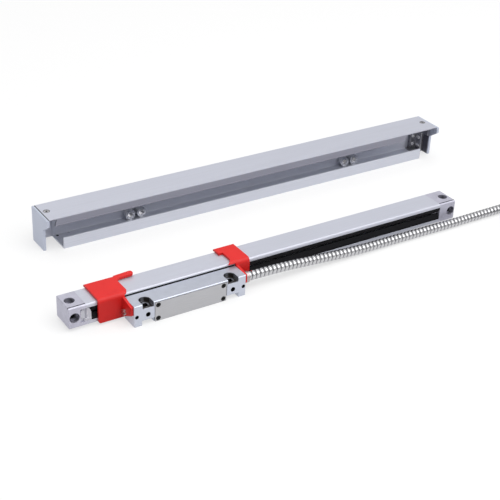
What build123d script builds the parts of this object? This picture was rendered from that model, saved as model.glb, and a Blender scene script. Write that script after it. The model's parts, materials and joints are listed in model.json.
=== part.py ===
from build123d import *
import math
import os

# Sealed linear glass scale with its reader head, armoured cable and loose protective cover.
# The origin is the bottom mouth of the left end block's upright mounting hole,
# +X runs along the scale, +Y towards its back and +Z up. All sizes are in millimetres.

# Measuring length and housing
measuring_length = 250.0
length_beyond_measuring = 140.0
body_width = 23.0
body_height = 18.5
body_corner = 0.7
body_front_corner = 1.8

# End blocks, their mounting holes and the screws that hold their tongues
left_block_length = 15.0
right_block_length = 18.0
block_chamfer = 0.4
hole_from_end = 6.0
side_hole_from_end = 5.0
side_hole_height = 9.0
mount_hole_radius = 2.25
counterbore_radius = 4.3
counterbore_depth = 4.5
tongue_length = 5.0
tongue_setback = 1.4
tongue_screw_pitch = 9.2
tongue_screw_radius = 1.0
tongue_screw_head = 1.9
tongue_screw_seat = 0.9
tongue_screw_length = 4.5
seat_clearance = 0.05
groove_mark_drop = 0.35
groove_mark_width = 0.5
groove_mark_margin = 0.6

# Hollow of the housing and the slot along its front
wall_back = 2.5
wall_front = 2.2
wall_floor = 2.5
wall_roof = 2.5
slot_bottom = 3.3
slot_top = 15.2

# Clamp that closes the slot at the left end and holds the lips
clamp_inset = 9.9
clamp_length = 9.5
clamp_depth = 1.6
clamp_curve = 2.8
clamp_ledge = 2.2
clamp_ledge_in = 3.4
clamp_ledge_setback = 0.3
clamp_pad_in = 5.4
clamp_pad_setback = 0.6
clamp_boss_in = 1.9
clamp_boss_length = 7.4
clamp_boss_width = 3.0
clamp_boss_rise = 0.8
clamp_boss_setback = 0.4

# Rubber lips, rooted in grooves beside the slot and leaning inwards to a narrow gap
lip_root = 1.9
lip_setback = 0.2
lip_groove = 0.7
lip_tip = 0.9
lip_gap = 1.4
lip_lean = 1.5
lip_shoulder = 1.6
lip_inner_shoulder = 1.2

# Glass and its bedding
glass_thickness = 2.0
glass_top = 9.9
glass_front = 3.5
glass_end_gap = 1.0
glass_bevel = 0.3
groove_depth = 1.2
bedding_wall = 0.6
bedding_floor = 0.5

# Carriage that reads the glass, with its rollers, lamp and detector
roller_radius = 2.5
roller_width = 2.0
roller_gap = 0.3
roller_bevel = 0.25
roller_side_gap = 0.2
axle_radius = 0.8
axle_clearance = 0.05
axle_anchor = 3.0
axle_overhang = 0.3
carriage_length = 70.0
carriage_thickness = 4.0
carriage_bottom = 3.4
carriage_top = 14.6
carriage_corner = 0.8
carriage_roller_gap = 0.5
shelf_thickness = 1.2
shelf_half_width = 2.2
shelf_beyond_axle = 0.9
face_roller_offsets = (-30.0, 6.0, 30.0)
edge_roller_offsets = (-24.0, 24.0)
window_offset = -11.0
window_width = 9.0
window_rise = 1.5
arm_back_gap = 0.7
arm_roller_rise = 0.3
grating_thickness = 0.9
grating_margin = 1.0
grating_lift = 0.6
grating_drop = 0.3
board_thickness = 0.8
lamp_radius = 2.5
lamp_depth = 1.0
ear_offset = 9.0
ear_length = 2.0
ear_reach = 1.6
ear_half_height = 1.2

# Reader head
head_length = 102.6
head_start = 47.2
head_gap = 1.0
head_depth = 17.2
head_top_drop = 2.4
head_corner = 0.5
foot_drop = 2.8
foot_width = 6.8
notch_rise = 4.3
pocket_radius = 5.0
pocket_depth = 4.2
pocket_seat_radius = 3.6
pocket_seat_depth = 0.6
head_hole_pitch = 78.0
head_hole_radius = 2.25
head_hole_setback = 6.0
thread_height = 6.0
thread_radius = 2.1
thread_beyond_hole = 1.5
end_thread_pitch = 98.0
end_thread_radius = 1.65
end_thread_depth = 3.4
head_hollow_depth = 9.0
head_wall = 3.0
cable_way_radius = 2.0
cable_way_reach = 2.0

# Cover plate of the head, its gasket and screws, and the board behind it
plate_length = 66.6
plate_thickness = 1.5
plate_lip = 1.1
plate_gap = 0.5
plate_screw_inset = 3.3
plate_screw_pitch_z = 12.2
screw_head_radius = 2.2
screw_head_sink = 0.3
screw_socket_radius = 0.9
screw_socket_depth = 0.9
gasket_thickness = 0.5
gasket_margin_x = 1.0
gasket_margin_z = 0.5
hollow_beside_screw = 1.1
board_margin_x = 2.0
board_margin_z = 0.8
head_board_thickness = 1.6
chip_offsets = (-16.0, -2.0, 13.0)
chip_size = 8.0
chip_height = 6.0

# Coupling between head and carriage
blade_length = 26.0
blade_thickness = 0.8
blade_reach = 6.2
blade_set_in = 1.6
blade_lug_length = 2.0
blade_lug_overlap = 0.4
blade_lug_half_height = 1.2
wire_radius = 0.4
wire_set_in = 0.8

# Transport brackets
bracket_wall = 2.0
bracket_clearance = 0.3
bracket_fold_radius = 3.8
bracket_inner_radius = 1.8
bracket_back_radius = 1.6
bracket_overhang = 2.3
bracket_corner = 2.0
left_saddle_length = 22.9
left_saddle_lap = 3.3
left_lap_corner = 5.0
left_skin_drop = 1.0
finger_root = 9.0
finger_length = 16.0
finger_width = 5.3
finger_rise = 0.9
right_saddle_length = 13.4
right_saddle_lap = 2.3
right_skin_reach = 1.5
right_flare = 6.5
right_flare_setback = 9.0
right_finger_length = 3.8
right_finger_width = 9.5
flange_thickness = 2.2
flange_rise = 1.5
flange_shoulder = 2.0
flange_shoulder_rise = 1.2
flange_nose_setback = 1.6
flange_nose_drop = 1.2
flange_nose_height = 7.2
bracket_screw_offset = 3.0
bracket_screw_head = 2.6
bracket_screw_head_height = 1.8
bracket_screw_radius = 1.5
bracket_hole_radius = 1.6
screw_slot_width = 1.2
screw_slot_depth = 0.7

# Armoured cable and its gland
cable_diameter = 8.4
cable_height = 8.0
cable_setback = 8.1
gland_radius = 4.9
gland_length = 13.0
gland_seat = 5.5
gland_bevel = 0.5
coil_x = 482.0
coil_mean_radius = 50.4
coil_turns_across = 4
coil_layers = 2
tail_length = 66.0

# Connector at the cable's end
hood_length = 40.0
hood_width = 32.0
hood_thickness = 16.0
hood_neck_length = 14.0
hood_neck_width = 17.0
hood_neck_corner = 3.0
face_width = 30.8
face_height = 12.5
face_corner = 1.5
face_thickness = 1.0
face_hole_radius = 1.9
shell_width = 17.0
shell_height = 8.4
shell_corner = 2.0
shell_depth = 6.0
shell_wall = 0.6
insert_clearance = 0.1
insert_depth = 1.2
pin_radius = 0.5
pin_length = 4.0
pin_pitch = 2.77
pin_row_pitch = 2.84
pin_rows = (5, 4)
thumbscrew_pitch = 25.0
thumbscrew_radius = 2.9
thumbscrew_shaft = 1.5
thumbscrew_head = 9.0
thumbscrew_reach = 6.0
knurl_count = 12
knurl_radius = 0.45

# Protective cover, standing behind the scale
cover_start = 28.0
cover_length = 432.9
cover_front = 106.6
cover_depth = 31.0
cover_height = 33.5
cover_wall = 1.5
cover_plate = 2.5
cover_plate_bevel = 0.5
band_drop = 0.3
band_left_inset = 10.0
band_right_inset = 39.5
flange_foot_in = 3.7
flange_foot_height = 23.8
flange_bead = 0.9
nose_overhang = 1.8
nose_height = 6.2
nose_slant = 7.2
leg_setback = 8.4

# Rail inside the cover and the bolts that hold it
rail_start = 14.6
rail_wall = 1.5
rail_lip = 10.7
rail_back_height = 16.0
rail_bend = 1.2
rail_bolt_height = 6.4
rail_bolt_inset = 78.4
rail_bolt_shift = 1.5
rail_bolt_pitch = 11.4
rail_bolt_head = 4.8
rail_bolt_head_height = 6.0
rail_bolt_collar = 3.4
rail_bolt_collar_height = 1.3
rail_bolt_radius = 2.9
rail_bolt_clearance = 0.1
rail_bolt_socket = 2.9
rail_bolt_socket_depth = 3.0

# Corner brackets and screws that tie the cover's top to its end plates
cover_screw_inset = 7.5
cover_screw_setback = 16.2
cover_screw_head = 2.8
cover_screw_radius = 1.25
cover_screw_hole = 1.3
cover_screw_reach = 2.8
cover_screw_sink = 0.1
corner_width = 15.0
corner_thickness = 3.0
corner_drop = 11.0
corner_gap = 0.5

# Places worked out from the sizes above
body_length = measuring_length + length_beyond_measuring
x_left = -hole_from_end
x_right = x_left + body_length
y_front = -body_width / 2
y_back = body_width / 2
z_floor = -foot_drop
extrusion_start = x_left + left_block_length
extrusion_end = x_right - right_block_length
extrusion_length = extrusion_end - extrusion_start
cavity_front = y_front + wall_front
cavity_back = y_back - wall_back
cavity_top = body_height - wall_roof
slot_middle = (slot_bottom + slot_top) / 2
glass_back = glass_front + glass_thickness
glass_middle = (glass_front + glass_back) / 2
glass_bottom = wall_floor - groove_depth + bedding_floor
glass_start = extrusion_start + tongue_length + glass_end_gap
glass_length = extrusion_length - 2 * (tongue_length + glass_end_gap)
head_left = x_left + head_start
head_right = head_left + head_length
head_middle = head_left + head_length / 2
head_back = y_front - head_gap
head_front = head_back - head_depth
head_top = body_height - head_top_drop
head_height = head_top - z_floor
cable_y = head_back - cable_setback
rest_height = z_floor + cable_diameter / 2


def save(piece, name):
    """Label a finished piece and write it to its own file."""
    piece.label = name
    export_step(piece, f"parts/{name}.step")


def facing(x, y, z, direction):
    """A plane at a point whose normal is one of the named directions."""
    normals = {"up": (0, 0, 1), "down": (0, 0, -1), "front": (0, -1, 0), "back": (0, 1, 0),
               "left": (-1, 0, 0), "right": (1, 0, 0)}
    x_dir = (0, 1, 0) if direction in ("left", "right") else (1, 0, 0)
    return Plane(origin=(x, y, z), x_dir=x_dir, z_dir=normals[direction])


def bar(low, high, mode=Mode.ADD):
    """Add, or cut, a rectangular bar between two opposite corners, given in any order."""
    size = [abs(high[i] - low[i]) for i in range(3)]
    centre = Vector(*[(high[i] + low[i]) / 2 for i in range(3)])
    with Locations(centre):
        Box(*size, mode=mode)


def pin(radius, length):
    """Add a cylinder that stands on the current place and reaches along its normal."""
    Cylinder(radius, length, align=(Align.CENTER, Align.CENTER, Align.MIN))


def tongue_screw_places():
    """Places, under the housing, of the screws that hold the end blocks' tongues."""
    middles = (extrusion_start + tongue_length / 2, extrusion_end - tongue_length / 2)
    half_pitch = tongue_screw_pitch / 2
    return [facing(x, y, 0, "down") for x in middles for y in (-half_pitch, half_pitch)]


os.makedirs("parts", exist_ok=True)

# Outline of the housing and its end blocks, well rounded at the top front edge
with BuildSketch() as body_section:
    with Locations((0, body_height / 2)):
        Rectangle(body_width, body_height)
    for y, z, radius in ((y_front, body_height, body_front_corner), (y_back, body_height, body_corner),
                         (y_back, 0, body_corner), (y_front, 0, body_corner)):
        fillet(body_section.vertices().sort_by_distance((y, z, 0))[0], radius)

# Housing: one extrusion with a hollow, a slot along the front and grooves for lips and glass
with BuildPart() as housing:
    with BuildSketch(Plane.YZ.offset(extrusion_start)):
        add(body_section.sketch)
        with Locations(((cavity_front + cavity_back) / 2, (wall_floor + cavity_top) / 2)):
            Rectangle(cavity_back - cavity_front, cavity_top - wall_floor, mode=Mode.SUBTRACT)
        with Locations(((y_front + cavity_front) / 2, slot_middle)):
            Rectangle(wall_front, slot_top - slot_bottom, mode=Mode.SUBTRACT)
        with Locations((y_front + lip_setback + lip_root / 2, slot_middle)):
            Rectangle(lip_root / 2, slot_top - slot_bottom + 2 * lip_groove, mode=Mode.SUBTRACT)
        with Locations((glass_middle, wall_floor - groove_depth / 2)):
            Rectangle(glass_thickness + 2 * bedding_wall, groove_depth, mode=Mode.SUBTRACT)
    extrude(amount=extrusion_length)
    with Locations(tongue_screw_places()):
        CounterBoreHole(tongue_screw_radius + seat_clearance, tongue_screw_head + seat_clearance,
                        tongue_screw_seat, depth=tongue_screw_length)
save(housing.part, "housing")


def end_block(side):
    """A die-cast end block; side is -1 for the left block and +1 for the right one."""
    outer = x_left if side < 0 else x_right
    inner = extrusion_start if side < 0 else extrusion_end
    tip = inner - side * tongue_length
    with BuildPart() as block:
        with BuildSketch(Plane.YZ.offset(outer)):
            add(body_section.sketch)
        extrude(amount=inner - outer)
        end_face = block.faces().sort_by(Axis.X)[0 if side < 0 else -1]
        chamfer(end_face.edges(), block_chamfer)
        bar((inner, cavity_front + tongue_setback, wall_floor + seat_clearance),
            (tip, cavity_back - seat_clearance, cavity_top - seat_clearance))
        with Locations(facing(outer - side * hole_from_end, 0, body_height, "up")):
            CounterBoreHole(mount_hole_radius, counterbore_radius, counterbore_depth)
        with Locations(facing(outer - side * side_hole_from_end, y_front, side_hole_height, "front")):
            CounterBoreHole(mount_hole_radius, counterbore_radius, counterbore_depth)
        if side < 0:
            bar(*clamp_pocket(), mode=Mode.SUBTRACT)
        with Locations(tongue_screw_places()):
            Hole(tongue_screw_radius + seat_clearance, depth=tongue_screw_length)
        mark = y_front + body_front_corner
        bar((outer - side * groove_mark_margin, mark, body_height - groove_mark_drop),
            (inner, mark + groove_mark_width, body_height), mode=Mode.SUBTRACT)
    return block


def clamp_pocket():
    """Corners of the shallow pocket in the left block's front face where the lip clamp sits."""
    return ((x_left + clamp_inset, y_front, slot_bottom),
            (extrusion_start + tongue_length, y_front + wall_front, slot_top))


for side, name in ((-1, "left"), (1, "right")):
    save(end_block(side).part, f"end_block_{name}")

# Lip clamp: a plate in the left block's pocket with a curved end, a ledge below, a pad and an oval boss
clamp_start = x_left + clamp_inset
clamp_end = clamp_start + clamp_length
clamp_floor = slot_bottom + seat_clearance
clamp_ceiling = slot_top - seat_clearance
clamp_face = y_front + clamp_depth


def clamp_plate(start, seat, thickness):
    """Add the clamp's outline from one x to its curved right end, raised forwards from a seat."""
    with BuildSketch(Plane.XZ.offset(-seat)) as outline:
        with BuildLine():
            Polyline([(clamp_end - clamp_curve, clamp_ceiling), (start, clamp_ceiling), (start, clamp_floor),
                      (clamp_end, clamp_floor), (clamp_end, slot_middle)])
            TangentArc((clamp_end, slot_middle), (clamp_end - clamp_curve, clamp_ceiling), tangent=(0, 1))
        make_face()
    extrude(outline.sketch, amount=thickness)


with BuildPart() as lip_clamp:
    clamp_plate(clamp_start, y_front + wall_front, wall_front - clamp_depth)
    clamp_plate(clamp_start + clamp_pad_in, clamp_face, clamp_depth - clamp_pad_setback)
    bar((clamp_start + clamp_ledge_in, y_front + clamp_ledge_setback, clamp_floor),
        (clamp_end, clamp_face, clamp_floor + clamp_ledge))
    with BuildSketch(Plane.XZ.offset(-clamp_face)):
        with Locations((clamp_start + clamp_boss_in, slot_middle + clamp_boss_rise)):
            SlotOverall(clamp_boss_length, clamp_boss_width, rotation=90)
    extrude(amount=clamp_depth - clamp_boss_setback)
save(lip_clamp.part, "lip_clamp")

# Screws through the housing floor that hold the end block tongues
with BuildPart() as end_block_screws:
    with Locations(tongue_screw_places()):
        Cylinder(tongue_screw_head, tongue_screw_seat, align=(Align.CENTER, Align.CENTER, Align.MAX))
        Cylinder(tongue_screw_radius, tongue_screw_length, align=(Align.CENTER, Align.CENTER, Align.MAX))
save(end_block_screws.part, "end_block_screws")


def rubber_lip(side):
    """One sealing lip; side is +1 for the upper lip and -1 for the lower one."""
    half = (slot_top - slot_bottom) / 2
    root = y_front + lip_setback + lip_root / 4
    outline = [(root, half + lip_groove), (root + lip_root / 2, half + lip_groove),
               (root + lip_root / 2, half),
               (root + lip_root / 2 + lip_lean / 3, half - lip_inner_shoulder),
               (root + lip_lean + lip_tip, lip_gap / 2), (root + lip_lean, lip_gap / 2),
               (root - lip_root / 4, half - lip_shoulder), (root - lip_root / 4, half), (root, half)]
    with BuildPart() as lip:
        with BuildSketch(Plane.YZ.offset(clamp_end)):
            with BuildLine():
                Polyline([(y, slot_middle + side * z) for y, z in outline], close=True)
            make_face()
        extrude(amount=extrusion_end - clamp_end)
    return lip


save(rubber_lip(1).part, "upper_lip")
save(rubber_lip(-1).part, "lower_lip")

# Glass scale standing on edge in its rubber bedding
with BuildPart() as glass_bedding:
    with BuildSketch(Plane.YZ.offset(glass_start)):
        with Locations((glass_middle, wall_floor - groove_depth / 2)):
            Rectangle(glass_thickness + 2 * bedding_wall, groove_depth)
        with Locations((glass_middle, wall_floor)):
            Rectangle(glass_thickness, 2 * (groove_depth - bedding_floor), mode=Mode.SUBTRACT)
    extrude(amount=glass_length)
save(glass_bedding.part, "glass_bedding")

with BuildPart() as glass_scale:
    bar((glass_start, glass_front, glass_bottom), (glass_start + glass_length, glass_back, glass_top))
    chamfer(glass_scale.edges().filter_by(Axis.X).group_by(Axis.Z)[-1], glass_bevel)
save(glass_scale.part, "glass_scale")

# Reading carriage: a bar with shelves for the upright rollers and an arm over the glass
carriage_back = glass_front - roller_gap - 2 * roller_radius - carriage_roller_gap
carriage_front = carriage_back - carriage_thickness
face_roller_y = glass_front - roller_gap - roller_radius
face_roller_z = carriage_bottom + shelf_thickness + roller_side_gap + roller_width / 2
edge_roller_z = glass_top + roller_gap + roller_radius
shelf_reach = face_roller_y + axle_radius + shelf_beyond_axle
upper_shelf = face_roller_z + roller_width / 2 + roller_side_gap
upper_shelf_top = upper_shelf + shelf_thickness
window_left = head_middle + window_offset - window_width / 2
window_right = window_left + window_width
window_height = (glass_top + carriage_bottom) / 2
window_top = window_height + window_rise
arm_back = cavity_back - arm_back_gap
arm_bottom = edge_roller_z - roller_radius + arm_roller_rise
arm_front = glass_back + roller_gap + lamp_depth
grating_front = glass_front - roller_gap - grating_thickness
board_front = grating_front - board_thickness
ear_x = head_middle + ear_offset

with BuildPart() as carriage_frame:
    bar((head_middle - carriage_length / 2, carriage_front, carriage_bottom),
        (head_middle + carriage_length / 2, carriage_back, carriage_top))
    chamfer(carriage_frame.edges().filter_by(Axis.Z), carriage_corner)
    for offset in face_roller_offsets:
        x = head_middle + offset
        for shelf in (carriage_bottom, upper_shelf):
            bar((x - shelf_half_width, carriage_back, shelf),
                (x + shelf_half_width, shelf_reach, shelf + shelf_thickness))
    bar((window_left, carriage_back, arm_bottom), (window_right, arm_back, carriage_top))
    bar((window_left, arm_front, carriage_bottom), (window_right, arm_back, arm_bottom))
    bar((window_left, carriage_back, carriage_bottom), (window_right, board_front, window_top))
    bar((ear_x, carriage_front - ear_reach, slot_middle - ear_half_height),
        (ear_x + ear_length, carriage_front, slot_middle + ear_half_height))
    for offset in face_roller_offsets:
        with Locations(facing(head_middle + offset, face_roller_y, upper_shelf_top, "up")):
            Hole(axle_radius, depth=upper_shelf_top - carriage_bottom)
    for offset in edge_roller_offsets:
        with Locations(facing(head_middle + offset, carriage_back, edge_roller_z, "back")):
            Hole(axle_radius, depth=axle_anchor)
save(carriage_frame.part, "carriage_frame")

with BuildPart() as roller_axles:
    for offset in face_roller_offsets:
        with Locations(facing(head_middle + offset, face_roller_y, carriage_bottom, "up")):
            pin(axle_radius, upper_shelf_top - carriage_bottom)
    for offset in edge_roller_offsets:
        with Locations(facing(head_middle + offset, carriage_back - axle_anchor, edge_roller_z, "back")):
            pin(axle_radius, axle_anchor + glass_middle + roller_width / 2 + axle_overhang - carriage_back)
save(roller_axles.part, "roller_axles")


def roller(place):
    """A miniature ball-bearing roller whose axis is the plane's normal."""
    with BuildPart() as ring:
        with BuildSketch(place.offset(-roller_width / 2)):
            Circle(roller_radius)
            Circle(axle_radius + axle_clearance, mode=Mode.SUBTRACT)
        extrude(amount=roller_width)
        rim = ring.edges().filter_by(GeomType.CIRCLE).group_by(lambda edge: round(edge.radius, 3))[-1]
        chamfer(rim, roller_bevel)
    return ring


roller_places = [facing(head_middle + offset, face_roller_y, face_roller_z, "up")
                 for offset in face_roller_offsets]
roller_places += [facing(head_middle + offset, glass_middle, edge_roller_z, "back")
                  for offset in edge_roller_offsets]
for number, place in enumerate(roller_places, start=1):
    save(roller(place).part, f"roller_{number}")

with BuildPart() as light_source:
    with Locations(facing((window_left + window_right) / 2, arm_front, window_height, "front")):
        pin(lamp_radius, lamp_depth)
save(light_source.part, "light_source")

with BuildPart() as detector_board:
    bar((window_left, board_front, carriage_bottom), (window_right, grating_front, window_top))
save(detector_board.part, "detector_board")

with BuildPart() as index_grating:
    bar((window_left + grating_margin, grating_front, carriage_bottom + grating_lift),
        (window_right - grating_margin, glass_front - roller_gap, window_top - grating_drop))
save(index_grating.part, "index_grating")

# Reader head: a die-cast block on two feet, with fan pockets, threads and a covered hollow
head_hole_y = head_front + head_hole_setback
pocket_floor = head_top - pocket_depth
plate_seat = head_front + plate_thickness
plate_left = head_middle - plate_length / 2
plate_right = head_middle + plate_length / 2
plate_roof = head_top - plate_lip
plate_top = plate_roof - plate_gap
plate_bottom = z_floor + seat_clearance
plate_middle = (plate_top + plate_bottom) / 2
plate_height = plate_top - plate_bottom
plate_screw_reach = plate_length / 2 - plate_screw_inset
hollow_reach = plate_screw_reach - screw_head_radius - hollow_beside_screw
hollow_left = head_middle - hollow_reach
hollow_right = head_middle + hollow_reach
hollow_top = plate_top - head_wall
hollow_bottom = z_floor + head_wall
hollow_back = plate_seat + head_hollow_depth

with BuildPart() as head_body:
    bar((head_left, head_front, z_floor), (head_right, head_back, head_top))
    top_front = head_body.edges().filter_by(Axis.X).group_by(Axis.Z)[-1].sort_by(Axis.Y)[0]
    chamfer([*head_body.edges().filter_by(Axis.Z), top_front], head_corner)
    for foot, plate_end in ((head_left + foot_width, plate_left), (head_right - foot_width, plate_right)):
        bar((foot, head_front, z_floor), (plate_end, head_back, z_floor + notch_rise), mode=Mode.SUBTRACT)
    bar((plate_left, head_front, z_floor), (plate_right, plate_seat, plate_roof), mode=Mode.SUBTRACT)
    bar((hollow_left, plate_seat, hollow_bottom), (hollow_right, hollow_back, hollow_top),
        mode=Mode.SUBTRACT)
    for side in (-1, 1):
        x = head_middle + side * head_hole_pitch / 2
        with BuildSketch(Plane.XY.offset(pocket_floor)):
            with Locations((x, head_hole_y)):
                Circle(pocket_radius)
            with Locations((x, (head_hole_y + head_front) / 2)):
                Rectangle(2 * pocket_radius, head_hole_y - head_front)
        extrude(amount=pocket_depth, mode=Mode.SUBTRACT)
        with Locations(facing(x, head_hole_y, pocket_floor, "up")):
            CounterBoreHole(head_hole_radius, pocket_seat_radius, pocket_seat_depth)
        with Locations(facing(x, head_front, thread_height, "front")):
            Hole(thread_radius, depth=head_hole_setback - head_hole_radius + thread_beyond_hole)
        end_thread_x = head_middle + side * end_thread_pitch / 2
        with Locations(facing(end_thread_x, head_front, thread_height, "front")):
            Hole(end_thread_radius, depth=end_thread_depth)
    with Locations(facing(head_right, cable_y, cable_height, "right")):
        CounterBoreHole(cable_way_radius, gland_radius + axle_clearance, gland_seat,
                        depth=head_right - hollow_right + cable_way_reach)
save(head_body.part, "head_body")

# Cover plate over the head's hollow, its gasket and its four screws
plate_screw_places = [(head_middle + i * plate_screw_reach, plate_middle + j * plate_screw_pitch_z / 2)
                      for i in (-1, 1) for j in (-1, 1)]
with BuildPart() as head_plate:
    with BuildSketch(Plane.XZ.offset(-(plate_seat - gasket_thickness))):
        with Locations((head_middle, plate_middle)):
            Rectangle(plate_length - 2 * plate_gap, plate_height)
        with Locations(plate_screw_places):
            Circle(screw_head_radius, mode=Mode.SUBTRACT)
    extrude(amount=plate_thickness - gasket_thickness)
save(head_plate.part, "head_plate")

with BuildPart() as head_gasket:
    with BuildSketch(Plane.XZ.offset(-plate_seat)):
        with Locations((head_middle, plate_middle)):
            Rectangle(plate_length - 2 * gasket_margin_x, plate_height - 2 * gasket_margin_z)
        with Locations((head_middle, (hollow_top + hollow_bottom) / 2)):
            Rectangle(hollow_right - hollow_left, hollow_top - hollow_bottom, mode=Mode.SUBTRACT)
        with Locations(plate_screw_places):
            Circle(screw_head_radius, mode=Mode.SUBTRACT)
    extrude(amount=gasket_thickness)
save(head_gasket.part, "head_gasket")

with BuildPart() as head_plate_screws:
    with Locations([facing(x, plate_seat, z, "front") for x, z in plate_screw_places]):
        pin(screw_head_radius - seat_clearance, plate_thickness - screw_head_sink)
    with BuildSketch(Plane.XZ.offset(-(head_front + screw_head_sink))):
        with Locations(plate_screw_places):
            RegularPolygon(screw_socket_radius, 6)
    extrude(amount=-screw_socket_depth, mode=Mode.SUBTRACT)
save(head_plate_screws.part, "head_plate_screws")

board_face = hollow_back - head_board_thickness
with BuildPart() as head_board:
    bar((hollow_left + board_margin_x, board_face, hollow_bottom + board_margin_z),
        (hollow_right - board_margin_x, hollow_back, hollow_top - board_margin_z))
    for offset in chip_offsets:
        chip_left = head_middle + offset - chip_size / 2
        bar((chip_left, board_face - head_board_thickness, slot_middle - chip_height),
            (chip_left + chip_size, board_face, slot_middle))
save(head_board.part, "head_board")

# Coupling: a blade from the head between the lips and a wire from the blade to the carriage
blade_left = head_middle - blade_length / 2
blade_tip = head_back + blade_reach
lug_right = blade_left + blade_lug_length
with BuildPart() as coupling_blade:
    bar((blade_left, head_back, slot_middle - blade_thickness / 2),
        (blade_left + blade_length, blade_tip - blade_set_in, slot_middle + blade_thickness / 2))
    bar((blade_left, blade_tip - blade_set_in - blade_lug_overlap, slot_middle - blade_lug_half_height),
        (lug_right, blade_tip, slot_middle + blade_lug_half_height))
save(coupling_blade.part, "coupling_blade")

with BuildPart() as coupling_wire:
    with Locations(facing(lug_right, carriage_front - wire_set_in, slot_middle, "right")):
        pin(wire_radius, ear_x - lug_right)
save(coupling_wire.part, "coupling_wire")

# Transport brackets: saddles over the housing with a flange on each end of the head
saddle_under = body_height + bracket_clearance
saddle_top = saddle_under + bracket_wall
skin_back = y_front - bracket_clearance
skin_front = skin_back - bracket_wall
saddle_back = y_back + bracket_overhang
nose_y = head_front + flange_nose_setback
nose_top = head_top - flange_nose_drop
bracket_screw_y = cable_y + bracket_screw_offset
bracket_screw_end = head_left - flange_thickness - bracket_screw_head_height


def saddle(side, length, lap, skin_bottom):
    """A red saddle beside one end of the head; side is -1 at the head's left end and +1 at its right.

    Its top plate lies over the housing and laps the head's end, a skin hangs from the round front
    fold and a flange stands on the head's end.
    """
    head_end = head_left if side < 0 else head_right
    outer = head_end + side * length
    lapped = head_end - side * lap
    with BuildPart() as bracket:
        with BuildSketch(Plane.YZ.offset(lapped)) as profile:
            with BuildLine():
                Polyline([(skin_front, skin_bottom), (skin_front, saddle_top), (saddle_back, saddle_top),
                          (saddle_back, saddle_under), (skin_back, saddle_under), (skin_back, skin_bottom)],
                         close=True)
            make_face()
            for y, z, radius in ((skin_front, saddle_top, bracket_fold_radius),
                                 (skin_back, saddle_under, bracket_inner_radius),
                                 (saddle_back, saddle_top, bracket_back_radius)):
                fillet(profile.vertices().sort_by_distance((y, z, 0))[0], radius)
        extrude(amount=outer - lapped)
        bar((lapped, skin_front, skin_bottom), (head_end, saddle_back, saddle_under), mode=Mode.SUBTRACT)
        ends = bracket.edges().filter_by(Axis.Y).group_by(Axis.X)[0 if side < 0 else -1]
        fillet(ends.sort_by(Axis.Z)[0], bracket_corner)
        with BuildSketch(Plane.YZ.offset(head_end)):
            with BuildLine():
                Polyline([(skin_back, skin_bottom), (skin_back, head_top + flange_rise),
                          (head_back - flange_shoulder, head_top + flange_shoulder_rise),
                          (nose_y, nose_top), (nose_y, nose_top - flange_nose_height)], close=True)
            make_face()
        extrude(amount=side * flange_thickness)
    return bracket


# Left saddle: its lapping corner is round and a finger springs from its back along the housing
with BuildPart() as left_bracket:
    add(saddle(-1, left_saddle_length, left_saddle_lap, -left_skin_drop).part)
    left_edge = head_left + left_saddle_lap
    finger_end = left_edge + finger_length
    with BuildSketch(Plane.XY.offset(saddle_under)):
        with BuildLine():
            TangentArc((left_edge, skin_front + left_lap_corner), (left_edge - left_lap_corner, skin_front),
                       tangent=(0, -1))
            Polyline([(left_edge - left_lap_corner, skin_front), (left_edge, skin_front),
                      (left_edge, skin_front + left_lap_corner)])
        make_face()
    extrude(amount=bracket_wall, mode=Mode.SUBTRACT)
    with BuildSketch(Plane.XZ.offset(-saddle_back)):
        with BuildLine():
            Polyline([(left_edge, saddle_under), (finger_end, saddle_under + finger_rise),
                      (finger_end, saddle_top + finger_rise), (left_edge, saddle_top)], close=True)
        make_face()
    extrude(amount=finger_root)
    with BuildSketch(Plane.XY.offset(saddle_under)):
        with BuildLine():
            TangentArc((left_edge, saddle_back - finger_root),
                       (left_edge + finger_root - finger_width, saddle_back - finger_width), tangent=(0, 1))
            Polyline([(left_edge + finger_root - finger_width, saddle_back - finger_width),
                      (finger_end, saddle_back - finger_width), (finger_end, saddle_back - finger_root),
                      (left_edge, saddle_back - finger_root)])
        make_face()
    extrude(amount=bracket_wall + finger_rise, mode=Mode.SUBTRACT)
    fillet(left_bracket.edges().filter_by(Axis.Z).group_by(Axis.X)[-1], bracket_corner)
    with Locations(facing(head_left - flange_thickness, bracket_screw_y, thread_height, "left")):
        Hole(bracket_hole_radius, depth=flange_thickness)
save(left_bracket.part, "left_bracket")

# Right saddle: its lapping edge flares out at the front and steps out at the back
with BuildPart() as right_bracket:
    add(saddle(1, right_saddle_length, right_saddle_lap + right_flare, slot_middle - right_skin_reach).part)
    right_edge = head_right - right_saddle_lap
    with BuildSketch(Plane.XY.offset(saddle_under)):
        with BuildLine():
            TangentArc((right_edge, skin_front + right_flare_setback), (right_edge - right_flare, skin_front),
                       tangent=(0, -1))
            Polyline([(right_edge - right_flare, skin_front), (right_edge - right_flare, saddle_back),
                      (right_edge - right_finger_length, saddle_back),
                      (right_edge - right_finger_length, saddle_back - right_finger_width),
                      (right_edge, saddle_back - right_finger_width),
                      (right_edge, skin_front + right_flare_setback)])
        make_face()
    extrude(amount=bracket_wall, mode=Mode.SUBTRACT)
    with Locations(facing(head_right + flange_thickness, cable_y, cable_height, "right")):
        Hole(gland_radius + bracket_clearance, depth=flange_thickness)
save(right_bracket.part, "right_bracket")

with BuildPart() as bracket_screws:
    with Locations(facing(head_left, bracket_screw_y, thread_height, "left")):
        pin(bracket_screw_radius, flange_thickness)
    with Locations(facing(head_left - flange_thickness, bracket_screw_y, thread_height, "left")):
        pin(bracket_screw_head, bracket_screw_head_height)
    with Locations((bracket_screw_end, bracket_screw_y, thread_height)):
        Box(2 * screw_slot_depth, 2 * bracket_screw_head, screw_slot_width, mode=Mode.SUBTRACT)
save(bracket_screws.part, "bracket_screws")

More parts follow.
